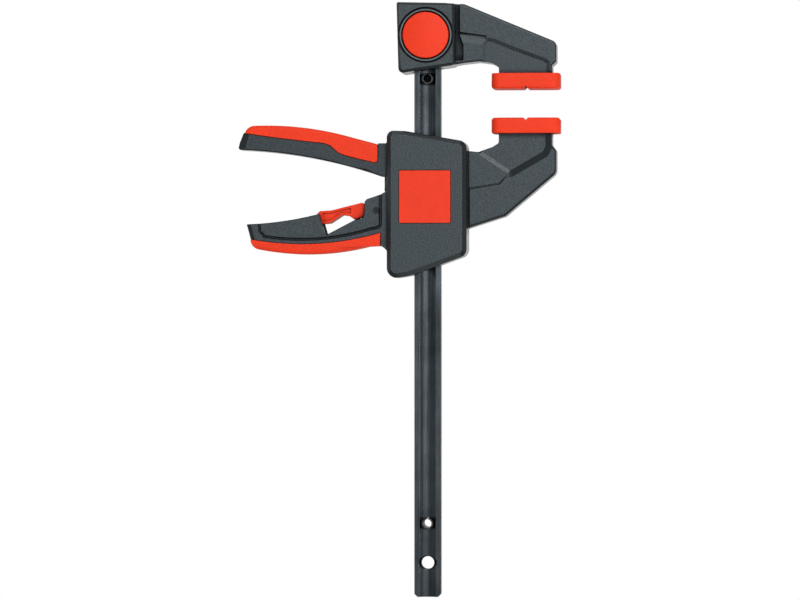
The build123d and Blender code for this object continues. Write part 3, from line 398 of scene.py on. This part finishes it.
def dress(tree, shader, colour, rough, height, relief, strength):
    """Feeds a shader its colour and roughness, and a height that stands out by relief metres."""
    bump = node(tree, "Bump", {"Height": height, "Distance": relief, "Strength": strength})
    for label, value in (("Base Color", colour), ("Roughness", rough), ("Normal", bump.outputs[0])):
        tree.links.new(value, shader.inputs[label])


def steel(name, dark, light, highlight_colour, rough, pitch=DRAWN_PITCH):
    """Drawn or blanked steel: lines along Z, pitch apart, in the colour, the gloss and the relief. Its
    edges turn paler towards a given colour, a painted highlight.
    """
    material, tree, shader, place = finish_of(name, Metallic=1.0)
    drawn = node(tree, "Group", {"Place": place, "Pitch": pitch}, node_tree=DRAWN_LINES).outputs
    lit_edges = node(tree, "Group", {"Place": place}, node_tree=EDGE_HIGHLIGHTS).outputs
    tone = ranged(tree, maths(tree, "MULTIPLY", drawn["Lines"], drawn["Clouds"]), 0.12, 0.42)
    # painted highlight: the edges turn paler by the edge mask
    colour = blended(tree, lit_edges["Edge"], blended(tree, tone, dark, light), highlight_colour)
    gloss = ranged(tree, drawn["Clouds"], 0.0, 1.0, rough + 0.10, rough - 0.08)
    dress(tree, shader, colour, gloss, drawn["Lines"], LINE_RELIEF, 0.6)
    return material


BLUED_STEEL = steel("blued_bar_steel", BLUED_DARK, BLUED_LIGHT, BLUED_EDGE_HIGHLIGHT, rough=0.25)
fit(shell_of("bar", BAR_EASE), "rail", "bar_steel", BLUED_STEEL, "bar")


# ---- stop pins ----
# Two slotted spring pins, rolled from strip and left grey from phosphating. The upper one sits in
# a notch under the fixed jaw, and the lower one stops the sliding jaw from leaving the bar.

PIN_EASE = 0.12 * MM
PHOSPHATE_DARK = (0.010, 0.010, 0.011)
PHOSPHATE_LIGHT = (0.050, 0.052, 0.055)
CRYSTALS = 2600.0  # to a metre
CRYSTAL_RELIEF = 0.04 * MM


def phosphated(name, dark, light, rough):
    """Grey phosphate coat: crystals as small cells, with paler edges, a painted highlight, and darker
    grooves and gaps, a painted shade.
    """
    material, tree, shader, place = finish_of(name, Metallic=0.85)
    crystals = node(tree, "TexVoronoi", {"Vector": place, "Scale": CRYSTALS, "Randomness": 1.0})
    cells = crystals.outputs["Distance"]
    clouds = noise(tree, place, 420.0, 3.0)
    lit_edges = node(tree, "Group", {"Place": place, "Radius": 0.4 * MM}, node_tree=EDGE_HIGHLIGHTS).outputs
    crevice_shade = node(tree, "Group", {"Place": place}, node_tree=PAINTED_CREVICE_SHADE).outputs
    tone = ranged(tree, maths(tree, "MULTIPLY", cells, clouds), 0.05, 0.45)
    colour = blended(tree, tone, dark, light)
    # painted highlight: the edges turn paler by the edge mask
    colour = blended(tree, lit_edges["Edge"], colour, tuple(1.5 * part for part in light))
    # painted shade: grooves and gaps go near black by the ambient-occlusion mask
    colour = blended(tree, crevice_shade["Shade"], colour, tuple(0.2 * part for part in dark))
    gloss = ranged(tree, clouds, 0.0, 1.0, rough - 0.08, rough + 0.12)
    dress(tree, shader, colour, gloss, cells, CRYSTAL_RELIEF, 0.7)
    return material


PIN_STEEL = phosphated("phosphated_pin_steel", PHOSPHATE_DARK, PHOSPHATE_LIGHT, rough=0.42)
for name in ("upper_stop_pin", "lower_stop_pin"):
    fit(shell_of(name, PIN_EASE), "rail", "pin_steel", PIN_STEEL, name)


# ---- fixed jaw ----
# One glass-filled nylon moulding, a thick block with the bar's socket and an arm that drops to the
# pad, and a plate of the same nylon that closes the block from behind. The mould's open faces are
# spark eroded, which gives a fine dull grain, and its walls are polished; walls and edges that face
# sideways are also coloured darker, a painted shade.

JAW_EASE = 0.35 * MM
BACK_PLATE_EASE = 0.25 * MM
JAW_OPEN = 0.85  # takes in the arm's sloping faces, which are grained too
NYLON_PITCH = 0.8 * MM
NYLON_RELIEF = 0.16 * MM
POLISHED_RELIEF = 0.03 * MM
COOL_SHEEN = (0.84, 0.95, 1.0, 1.0)


def moulded_grain():
    """Spark-eroded mould texture. Height is fine noise less the dark of small cells, Speckle is the
    same grain as pale dots of glass fibre, and Patches is slow, wide variation."""
    group, given = new_group("moulded grain", {"Pitch": 0.5 * MM}, ("Height", "Speckle", "Patches"))
    fine = maths(group, "DIVIDE", 1.0, given["Pitch"])
    grain = noise(group, given["Place"], fine, 2.0, 0.65)
    cells = node(group, "TexVoronoi", {"Vector": given["Place"], "Scale": fine}, feature="SMOOTH_F1")
    height = maths(group, "SUBTRACT", grain, cells.outputs["Distance"])
    speckle = ranged(group, grain, 0.38, 0.68)
    patches = noise(group, given["Place"], 42.0, 3.0)
    node(group, "NodeGroupOutput", {"Height": height, "Speckle": speckle, "Patches": patches})
    return group


MOULDED_GRAIN = moulded_grain()


def moulded(name, dark, light, highlight_colour, rough, pitch, relief, highlight_share=0.5, **constants):
    """A moulded plastic or rubber: grain in the colour, the gloss and the relief. Its edges are
    smoother, and turn paler towards a given colour by a given share, a painted highlight. Grooves
    and gaps turn darker and duller, a painted shade."""
    material, tree, shader, place = finish_of(name, **constants)
    grain = node(tree, "Group", {"Place": place, "Pitch": pitch}, node_tree=MOULDED_GRAIN).outputs
    lit_edges = node(tree, "Group", {"Place": place}, node_tree=EDGE_HIGHLIGHTS).outputs
    crevice_shade = node(tree, "Group", {"Place": place}, node_tree=PAINTED_CREVICE_SHADE).outputs
    colour = blended(tree, grain["Speckle"], dark, light)
    shade = ranged(tree, grain["Patches"], 0.0, 1.0, 0.86, 1.14)
    grey = node(tree, "CombineXYZ", {0: shade, 1: shade, 2: shade}).outputs[0]
    uneven = node(tree, "Mix", {0: 1.0, 6: colour, 7: grey}, data_type="RGBA", blend_type="MULTIPLY")
    # painted highlight: the edges turn paler by the edge mask
    colour = blended(tree, maths(tree, "MULTIPLY", lit_edges["Edge"], highlight_share), uneven.outputs[2], highlight_colour)
    # painted shade: grooves and gaps go near black by the ambient-occlusion mask, and turn duller
    colour = blended(tree, crevice_shade["Shade"], colour, tuple(0.18 * part for part in dark))
    dull = ranged(tree, grain["Patches"], 0.0, 1.0, rough - 0.07, rough + 0.07)
    smoothed = maths(tree, "MULTIPLY_ADD", lit_edges["Edge"], -0.20, dull)
    dulled_in_crevices = maths(tree, "MULTIPLY_ADD", crevice_shade["Shade"], 0.5, smoothed)
    dress(tree, shader, colour, dulled_in_crevices, grain["Height"], relief, 0.55)
    return material


DARK_NYLON = moulded(
    "dark_nylon",
    dark=(0.007, 0.011, 0.014),
    light=(0.026, 0.034, 0.039),
    highlight_colour=(0.065, 0.075, 0.082),
    rough=0.42,
    pitch=NYLON_PITCH,
    relief=NYLON_RELIEF,
    Specular_IOR_Level=0.38,
    Specular_Tint=COOL_SHEEN,
)
# painted shade: a darker copy of the dark nylon for walls and edges that face sideways, glossier as
# polished mould walls are
SHADED_POLISHED_NYLON = moulded(
    "shaded_polished_nylon",
    dark=(0.002, 0.003, 0.003),
    light=(0.006, 0.008, 0.009),
    highlight_colour=(0.03, 0.034, 0.038),
    rough=0.26,
    pitch=NYLON_PITCH,
    relief=POLISHED_RELIEF,
    Specular_IOR_Level=0.28,
    Specular_Tint=COOL_SHEEN,
)


def shade_and_polish_walls(piece, open_face=0.93):
    """Gives the polished finish, a darker copy of the nylon that paints shade on them, to the rounded
    edges and to every face whose normal has less than open_face of its length towards the front or
    the rear."""
    mesh = piece.data
    mesh.materials.append(SHADED_POLISHED_NYLON)
    normals = np.empty(3 * len(mesh.polygons))
    mesh.polygons.foreach_get("normal", normals)
    walls = np.abs(normals[1::3]) < open_face
    mesh.polygons.foreach_set("material_index", walls.astype(np.int32))
    piece.modifiers["rounded edges"].material = 1


fixed_jaw = shell_of("fixed_jaw", JAW_EASE)
fit(fixed_jaw, "rail", "body_plastic", DARK_NYLON, "fixed_jaw")
shade_and_polish_walls(fixed_jaw, JAW_OPEN)
back_plate = shell_of("fixed_jaw_back_plate", BACK_PLATE_EASE)
fit(back_plate, "rail", "body_plastic", DARK_NYLON, "fixed_jaw_back_plate")
shade_and_polish_walls(back_plate)


# ---- lock button ----
# A round push button, slightly domed and moulded in red plastic, in a thin pale ring let into the
# block. Pressed in, it frees the jaw from the bar so that the jaw can be turned for spreading.

BUTTON_ROUND = 0.9 * MM
BUTTON_RISE = 0.8 * MM
BUTTON_RIM_START = -84  # degrees round the rim, where the crown runs into it
RING_WIDE = 0.9 * MM
RING_ROUND = 0.3 * MM
ROUND_STEPS = 96
CROWN_STEPS = 14
RIM_STEPS = 8
TRIM_STEPS = 6
SEAM = 0.002 * MM  # points of a surface nearer than this are one
SURFACE_CREASE = 38  # degrees of turn above which a surface has a crease


def surface(name, points, round_u=False, round_v=False):
    """A mesh over a grid of points (u, v, xyz), closed in u or v where asked. Points that coincide
    are merged, so that poles and seams are sealed, and its faces are turned outwards."""
    rows, columns = points.shape[:2]
    index = np.arange(rows * columns).reshape(rows, columns)
    u = np.arange(rows if round_u else rows - 1)
    v = np.arange(columns if round_v else columns - 1)
    a = index[u][:, v]
    b = index[(u + 1) % rows][:, v]
    c = index[(u + 1) % rows][:, (v + 1) % columns]
    d = index[u][:, (v + 1) % columns]
    faces = np.stack((a, b, c, d), axis=-1).reshape(-1, 4)
    mesh = bpy.data.meshes.new(name)
    mesh.from_pydata(points.reshape(-1, 3).tolist(), [], faces.tolist())
    form = bmesh.new()
    form.from_mesh(mesh)
    bmesh.ops.remove_doubles(form, verts=form.verts, dist=SEAM)
    bmesh.ops.dissolve_degenerate(form, edges=form.edges, dist=WELD)
    bmesh.ops.recalc_face_normals(form, faces=form.faces)
    form.to_mesh(mesh)
    form.free()
    mesh.shade_smooth()
    mesh.set_sharp_from_angle(angle=radians(SURFACE_CREASE))
    piece = bpy.data.objects.new(name, mesh)
    bpy.context.scene.collection.objects.link(piece)
    return piece


def turned(name, profile, middle):
    """A profile of (radius, y) points carried round an axis along Y through middle (x, z)."""
    radius, along = np.array(profile).T
    turn = np.linspace(0.0, 2 * pi, ROUND_STEPS, endpoint=False)
    points = np.empty((ROUND_STEPS, len(radius), 3))
    points[..., 0] = middle[0] + radius[None, :] * np.cos(turn)[:, None]
    points[..., 1] = along[None, :]
    points[..., 2] = middle[1] + radius[None, :] * np.sin(turn)[:, None]
    return surface(name, points, round_u=True)


def arc(centre, radius, start, end, steps):
    """Points of a circle from one angle to another, in degrees."""
    turn = np.radians(np.linspace(start, end, steps))
    return np.column_stack((centre[0] + radius * np.cos(turn), centre[1] + radius * np.sin(turn)))


RED_PLASTIC = moulded(
    "red_plastic",
    dark=(0.66, 0.028, 0.006),
    light=(0.76, 0.043, 0.010),
    highlight_colour=(0.80, 0.09, 0.04),
    rough=0.42,
    pitch=0.4 * MM,
    relief=0.02 * MM,
    highlight_share=0.35,
    Specular_IOR_Level=0.15,
)
button_low, button_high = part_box("lock_button")
button_middle = ((button_low[0] + button_high[0]) / 2, (button_low[2] + button_high[2]) / 2)
button_radius = (button_high[0] - button_low[0]) / 2
across = np.linspace(0.0, button_radius - BUTTON_ROUND, CROWN_STEPS)
crown = button_low[1] + BUTTON_RISE * (across / button_radius) ** 2
rim = arc((across[-1], crown[-1] + BUTTON_ROUND), BUTTON_ROUND, BUTTON_RIM_START, 0, RIM_STEPS)
back = [(button_radius, button_high[1]), (0.0, button_high[1])]
button = turned("lock_button_cap", np.vstack((np.column_stack((across, crown)), rim, back)), button_middle)
fit(button, "lock", "hard_red", RED_PLASTIC, "lock_button")

RING_PLASTIC = moulded(
    "ring_plastic",
    dark=(0.060, 0.070, 0.076),
    light=(0.10, 0.115, 0.122),
    highlight_colour=(0.16, 0.18, 0.19),
    rough=0.40,
    pitch=0.3 * MM,
    relief=0.01 * MM,
    Specular_IOR_Level=0.30,
)
ring_low, ring_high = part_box("button_ring")
ring_outer = (ring_high[0] - ring_low[0]) / 2
ring_inner = ring_outer - RING_WIDE
round_y = ring_low[1] + RING_ROUND
profile = np.vstack((
    arc((ring_inner + RING_ROUND, round_y), RING_ROUND, 180, 270, TRIM_STEPS),
    arc((ring_outer - RING_ROUND, round_y), RING_ROUND, -90, 0, TRIM_STEPS),
    [(ring_outer, ring_high[1]), (ring_inner, ring_high[1]), (ring_inner, round_y)],
))
ring = turned("button_ring_trim", profile, button_middle)
fit(ring, "rail", "ring_grey", RING_PLASTIC, "button_ring")


# ---- pads ----
# Two soft caps pushed over the jaws' noses, cast in red elastomer. Each has upright rounded
# corners, a flat clamping face with eased edges, and a V groove across it to hold round stock.

PAD_CORNER = 4.4 * MM
PAD_EASE = 1.3 * MM  # rounding of the clamping face's edge
PAD_LIP = 0.5 * MM  # rounding of the edge on the jaw's side
PAD_SWELL = 0.18 * MM  # of the side walls at half height, as soft castings have
END_INSETS = np.array((9.0, 5.5, 2.6)) * MM  # of the rings that fill a pad's ends
GROOVE_WIDE = 2.5 * MM
GROOVE_DEEP = 1.5 * MM
GROOVE_POINTS = np.array((-0.5, -0.25, 0.0, 0.25, 0.5)) * GROOVE_WIDE
SIDE_SHARES = np.array((-1.0, -0.7, -0.4, -0.2, -0.1))  # of the way from the middle to a corner
SIDE_STEPS = 9
CORNER_STEPS = 9
EASE_STEPS = 7
LIP_STEPS = 4


def rounded_ring(half_x, half_y, radius, along_x, along_y):
    """Points round a rectangle with quarter circles at its corners, from the front left. The sides
    have the points of along_x and along_y, kept to where the corners start."""
    x, y = half_x - radius, half_y - radius
    along_x, along_y = np.clip(along_x, -x, x), np.clip(along_y, -y, y)
    sides = (
        np.column_stack((along_x, np.full_like(along_x, -half_y))),
        np.column_stack((np.full_like(along_y, half_x), along_y)),
        np.column_stack((-along_x, np.full_like(along_x, half_y))),
        np.column_stack((np.full_like(along_y, -half_x), -along_y)),
    )
    ring = []
    for side, corner, start in zip(sides, ((x, -y), (x, y), (-x, y), (-x, -y)), (-90, 0, 90, 180)):
        ring += [side, arc(corner, radius, start, start + 90, CORNER_STEPS)]
    return np.vstack(ring)


def pad_cap(name, node_name, up):
    """Rounded rectangles stacked along Z and drawn in to a line at both ends, where their depth comes
    to nothing. No point rises above the groove's two slopes. up is 1 if the pad faces up, else -1."""
    low, high = (np.array(corner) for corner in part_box(node_name))
    middle, half = (low + high) / 2, (high - low) / 2
    ease = np.radians(np.linspace(90, 0, EASE_STEPS))
    lip = np.radians(np.linspace(0, -90, LIP_STEPS))
    face_in = np.array((half[1], *END_INSETS))
    back_in = np.array((*END_INSETS[:0:-1], half[1]))
    inset = np.concatenate((face_in, PAD_EASE * (1 - np.cos(ease)), PAD_LIP * (1 - np.cos(lip)), back_in))
    height = np.concatenate((
        np.full_like(face_in, half[2]),
        half[2] - PAD_EASE * (1 - np.sin(ease)),
        -half[2] + PAD_LIP * (1 + np.sin(lip)),
        np.full_like(back_in, -half[2]),
    ))
    swell = PAD_SWELL * np.clip(1 - (height / half[2]) ** 2, 0, 1)
    inset = inset + PAD_SWELL - swell
    flat_x = SIDE_SHARES * (half[0] - PAD_CORNER)
    along_x = np.concatenate((flat_x, GROOVE_POINTS, -flat_x[::-1]))
    along_y = np.linspace(-1, 1, SIDE_STEPS) * (half[1] - PAD_CORNER)
    rings = []
    for step, z in zip(inset, height):
        half_x, half_y = half[0] - step, max(half[1] - step, 0.0)
        radius = max(min(PAD_CORNER - step, half_x, half_y), 0.0)
        ring = rounded_ring(half_x, half_y, radius, along_x, along_y)
        rings.append(np.column_stack((ring, np.full(len(ring), z))))
    points = np.array(rings)
    into_groove = np.clip(1 - np.abs(points[..., 0]) / (GROOVE_WIDE / 2), 0, 1)
    points[..., 2] = up * np.minimum(points[..., 2], half[2] - GROOVE_DEEP * into_groove)
    return surface(name, points + middle, round_v=True)


SOFT_RED = moulded(
    "soft_red_elastomer",
    dark=(0.66, 0.028, 0.006),
    light=(0.77, 0.045, 0.011),
    highlight_colour=(0.80, 0.10, 0.05),
    rough=0.54,
    pitch=0.5 * MM,
    relief=0.05 * MM,
    highlight_share=0.4,
    Specular_IOR_Level=0.16,
)
fit(pad_cap("fixed_pad_cap", "fixed_jaw_pad", -1), "rail", "soft_red", SOFT_RED, "fixed_jaw_pad")
fit(pad_cap("sliding_pad_cap", "sliding_jaw_pad", 1), "carriage", "soft_red", SOFT_RED, "sliding_jaw_pad")


# ---- sliding jaw and covers ----
# The sliding jaw, mechanism box and lower handle are one moulding in the same grained nylon. Two
# bevelled covers close the box, screwed together from the rear through four bosses.

SLIDING_JAW_EASE = 0.32 * MM
COVER_EASE = 0.22 * MM
SLOT_WIDE = 2.3 * MM  # of the slot down both faces, where the arm leaves the box
SLOT_DEEP = 1.9 * MM
SLOT_LONG = 60.0 * MM
SLOT_UNDER = 0.9 * MM  # the part of its width that lies under the cover
SLOT_DROP = 2.3 * MM  # from the jaw's top to the slot's
SLOT_CLEAR = 1.0 * MM  # by which its cutter stands out of the face

jaw_low, jaw_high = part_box("sliding_jaw")
slot_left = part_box("front_cover")[1][0] - SLOT_UNDER
slot_top = jaw_high[2] - SLOT_DROP
slots = []
for face, inward in ((jaw_low[1], 1), (jaw_high[1], -1)):
    first = (slot_left, face - inward * SLOT_CLEAR, slot_top - SLOT_LONG)
    second = (slot_left + SLOT_WIDE, face + inward * SLOT_DEEP, slot_top)
    slots.append((first, second))
sliding_jaw = shell_of("sliding_jaw", SLIDING_JAW_EASE, slots)
fit(sliding_jaw, "carriage", "body_plastic", DARK_NYLON, "sliding_jaw")
shade_and_polish_walls(sliding_jaw)
for name in ("front_cover", "rear_cover"):
    cover = shell_of(name, COVER_EASE)
    fit(cover, "carriage", "body_plastic", DARK_NYLON, name)
    shade_and_polish_walls(cover)


# ---- badge ----
# A thin square of the button's red plastic, pressed into a recess of the front cover and just
# proud of it. Its face is plain, with eased edges.

BADGE_EASE = 0.15 * MM
fit(shell_of("front_badge", BADGE_EASE), "carriage", "badge_red", RED_PLASTIC, "front_badge")


# ---- trigger ----
# The upper handle: a black nylon lever whose cheeks pass both sides of the box's wall and turn on
# a pin inside it, with a soft red overmould where the palm pushes.

TRIGGER_EASE = 0.35 * MM
GRIP_EASE = 0.3 * MM
BLACK_NYLON = moulded(
    "black_nylon",
    dark=(0.006, 0.009, 0.011),
    light=(0.022, 0.029, 0.033),
    highlight_colour=(0.06, 0.07, 0.076),
    rough=0.44,
    pitch=NYLON_PITCH,
    relief=NYLON_RELIEF,
    Specular_IOR_Level=0.34,
    Specular_Tint=COOL_SHEEN,
)
trigger = shell_of("trigger_lever", TRIGGER_EASE)
fit(trigger, "trigger", "trigger_plastic", BLACK_NYLON, "trigger_lever")
shade_and_polish_walls(trigger)
fit(shell_of("trigger_grip", GRIP_EASE), "trigger", "soft_red", SOFT_RED, "trigger_grip")


# ---- lower grip ----
# The pads' red elastomer again, moulded over a rib under the fixed handle, where the fingers
# pull. Its edges are rounded like the trigger grip's.

fit(shell_of("lower_grip", GRIP_EASE), "carriage", "soft_red", SOFT_RED, "lower_grip")


# ---- release lever ----
# A lever of the button's red plastic between the lower handle's cheeks. Squeezed, it tips the
# brake plates and lets the jaw slide.

RELEASE_EASE = 0.3 * MM
fit(shell_of("release_lever", RELEASE_EASE), "release", "hard_red", RED_PLASTIC, "release_lever")


# ---- screws ----
# Cross-head screws of blackened steel. Four go through the rear cover and the box into the front
# cover, and two hold the fixed jaw's back plate.

SCREW_EASE = 0.12 * MM
OXIDE_DARK = (0.035, 0.036, 0.038)
OXIDE_LIGHT = (0.085, 0.087, 0.09)
BLACK_OXIDE = steel("black_oxide_steel", OXIDE_DARK, OXIDE_LIGHT, (0.22, 0.22, 0.22), rough=0.42)
fit(shell_of("cover_screws", SCREW_EASE), "carriage", "screw_steel", BLACK_OXIDE, "cover_screws")
fit(shell_of("fixed_jaw_screws", SCREW_EASE), "rail", "screw_steel", BLACK_OXIDE, "fixed_jaw_screws")


# ---- inside the box and the block ----
# Turned pins and bushes, blanked plates and acetal shoes. They keep their solids' own shapes, and
# each gets the finish of its stock.

BRIGHT_STEEL = steel(
    "ground_pin_steel",
    dark=(0.30, 0.30, 0.31),
    light=(0.46, 0.46, 0.47),
    highlight_colour=(0.6, 0.6, 0.6),
    rough=0.26,
    pitch=0.3 * MM,
)
PLATE_STEEL = steel(
    "blanked_plate_steel",
    dark=(0.22, 0.22, 0.225),
    light=(0.36, 0.36, 0.365),
    highlight_colour=(0.5, 0.5, 0.5),
    rough=0.36,
    pitch=0.6 * MM,
)
ACETAL = moulded(
    "black_acetal",
    dark=(0.030, 0.031, 0.033),
    light=(0.045, 0.047, 0.050),
    highlight_colour=(0.1, 0.1, 0.1),
    rough=0.34,
    pitch=0.3 * MM,
    relief=0.01 * MM,
)
INSIDE = {
    "lock_yoke": ("lock_plastic", ACETAL),
    "lock_pin": ("pin_steel", BRIGHT_STEEL),
    "upper_guide": ("slide_plastic", ACETAL),
    "lower_guide": ("slide_plastic", ACETAL),
    "trigger_pin": ("pin_steel", BRIGHT_STEEL),
    "release_pin": ("pin_steel", PIN_STEEL),
    "brake_fulcrum": ("pin_steel", BRIGHT_STEEL),
    "trigger_bush": ("pin_steel", BRIGHT_STEEL),
    "release_bush": ("pin_steel", BRIGHT_STEEL),
    "drive_plate_1": ("plate_steel", PLATE_STEEL),
    "drive_plate_2": ("plate_steel", PLATE_STEEL),
    "brake_plate_1": ("plate_steel", PLATE_STEEL),
    "brake_plate_2": ("plate_steel", PLATE_STEEL),
}
for name, (slot, material) in INSIDE.items():
    nodes[name].data.materials.clear()
    nodes[name].data.materials.append(material)


# ---- springs ----
# Three coils of hard-drawn wire with closed ends: one round the bar under the drive plates, one
# under the brake plates and one behind the lock button.

COIL_STEPS = 40  # to a turn
WIRE_SIDES = 12
END_PITCH = 1.02  # of a closed end's turn, in wire thicknesses
SPRING_WIRE = steel(
    "spring_wire",
    dark=(0.20, 0.195, 0.185),
    light=(0.34, 0.33, 0.315),
    highlight_colour=(0.45, 0.44, 0.42),
    rough=0.30,
    pitch=0.3 * MM,
)


def wound(name, node_name, axis, wire, turns):
    """Round wire on a helix inside a solid's box. Its rise runs as t less a part of the sine of t, so
    that the pitch is least, about one wire's thickness, at both ends. A tube follows it."""
    low, high = (np.array(corner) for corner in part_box(node_name))
    middle, half = (low + high) / 2, (high - low) / 2
    first, second = (axis + 1) % 3, (axis + 2) % 3
    radius = min(half[first], half[second]) - wire / 2
    height = 2 * half[axis] - wire
    t = np.linspace(0.0, 1.0, int(COIL_STEPS * turns) + 1)
    slack = 1 - END_PITCH * wire * turns / height
    rise = height * (t - slack * np.sin(2 * pi * t) / (2 * pi) - 0.5)
    outward = np.zeros((len(t), 3))
    outward[:, first] = np.cos(2 * pi * turns * t)
    outward[:, second] = np.sin(2 * pi * turns * t)
    line = middle + radius * outward
    line[:, axis] += rise
    along = np.gradient(line, axis=0)
    along /= np.linalg.norm(along, axis=1)[:, None]
    upward = np.cross(along, outward)
    turn = np.linspace(0.0, 2 * pi, WIRE_SIDES, endpoint=False)[None, :, None]
    thick = np.full(len(t), wire / 2)
    thick[[0, -1]] = 0.0
    line[[0, -1]] = line[[1, -2]]
    offset = np.cos(turn) * outward[:, None] + np.sin(turn) * upward[:, None]
    return surface(name, line[:, None] + thick[:, None, None] * offset, round_v=True)


# axis is 1 for Y and 2 for Z, seat is 0 for the low end of the coil's box and 1 for the high end,
# and keep is the share of its length that is left at the joint's limit
for name, body, axis, wire, turns, joint, seat, keep in (
    ("drive_spring", "carriage", 2, 1.2 * MM, 6.5, "drive_plate_shift", 0, 0.894),
    ("brake_spring", "carriage", 2, 0.8 * MM, 7.5, "brake_plate_tilt", 0, 0.909),
    ("button_spring", "rail", 1, 0.8 * MM, 4.5, "lock_button_press", 1, 0.465),
):
    coil = wound(name + "_coil", name, axis, wire, turns)
    fit(coil, body, "spring_steel", SPRING_WIRE, name)
    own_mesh(coil)
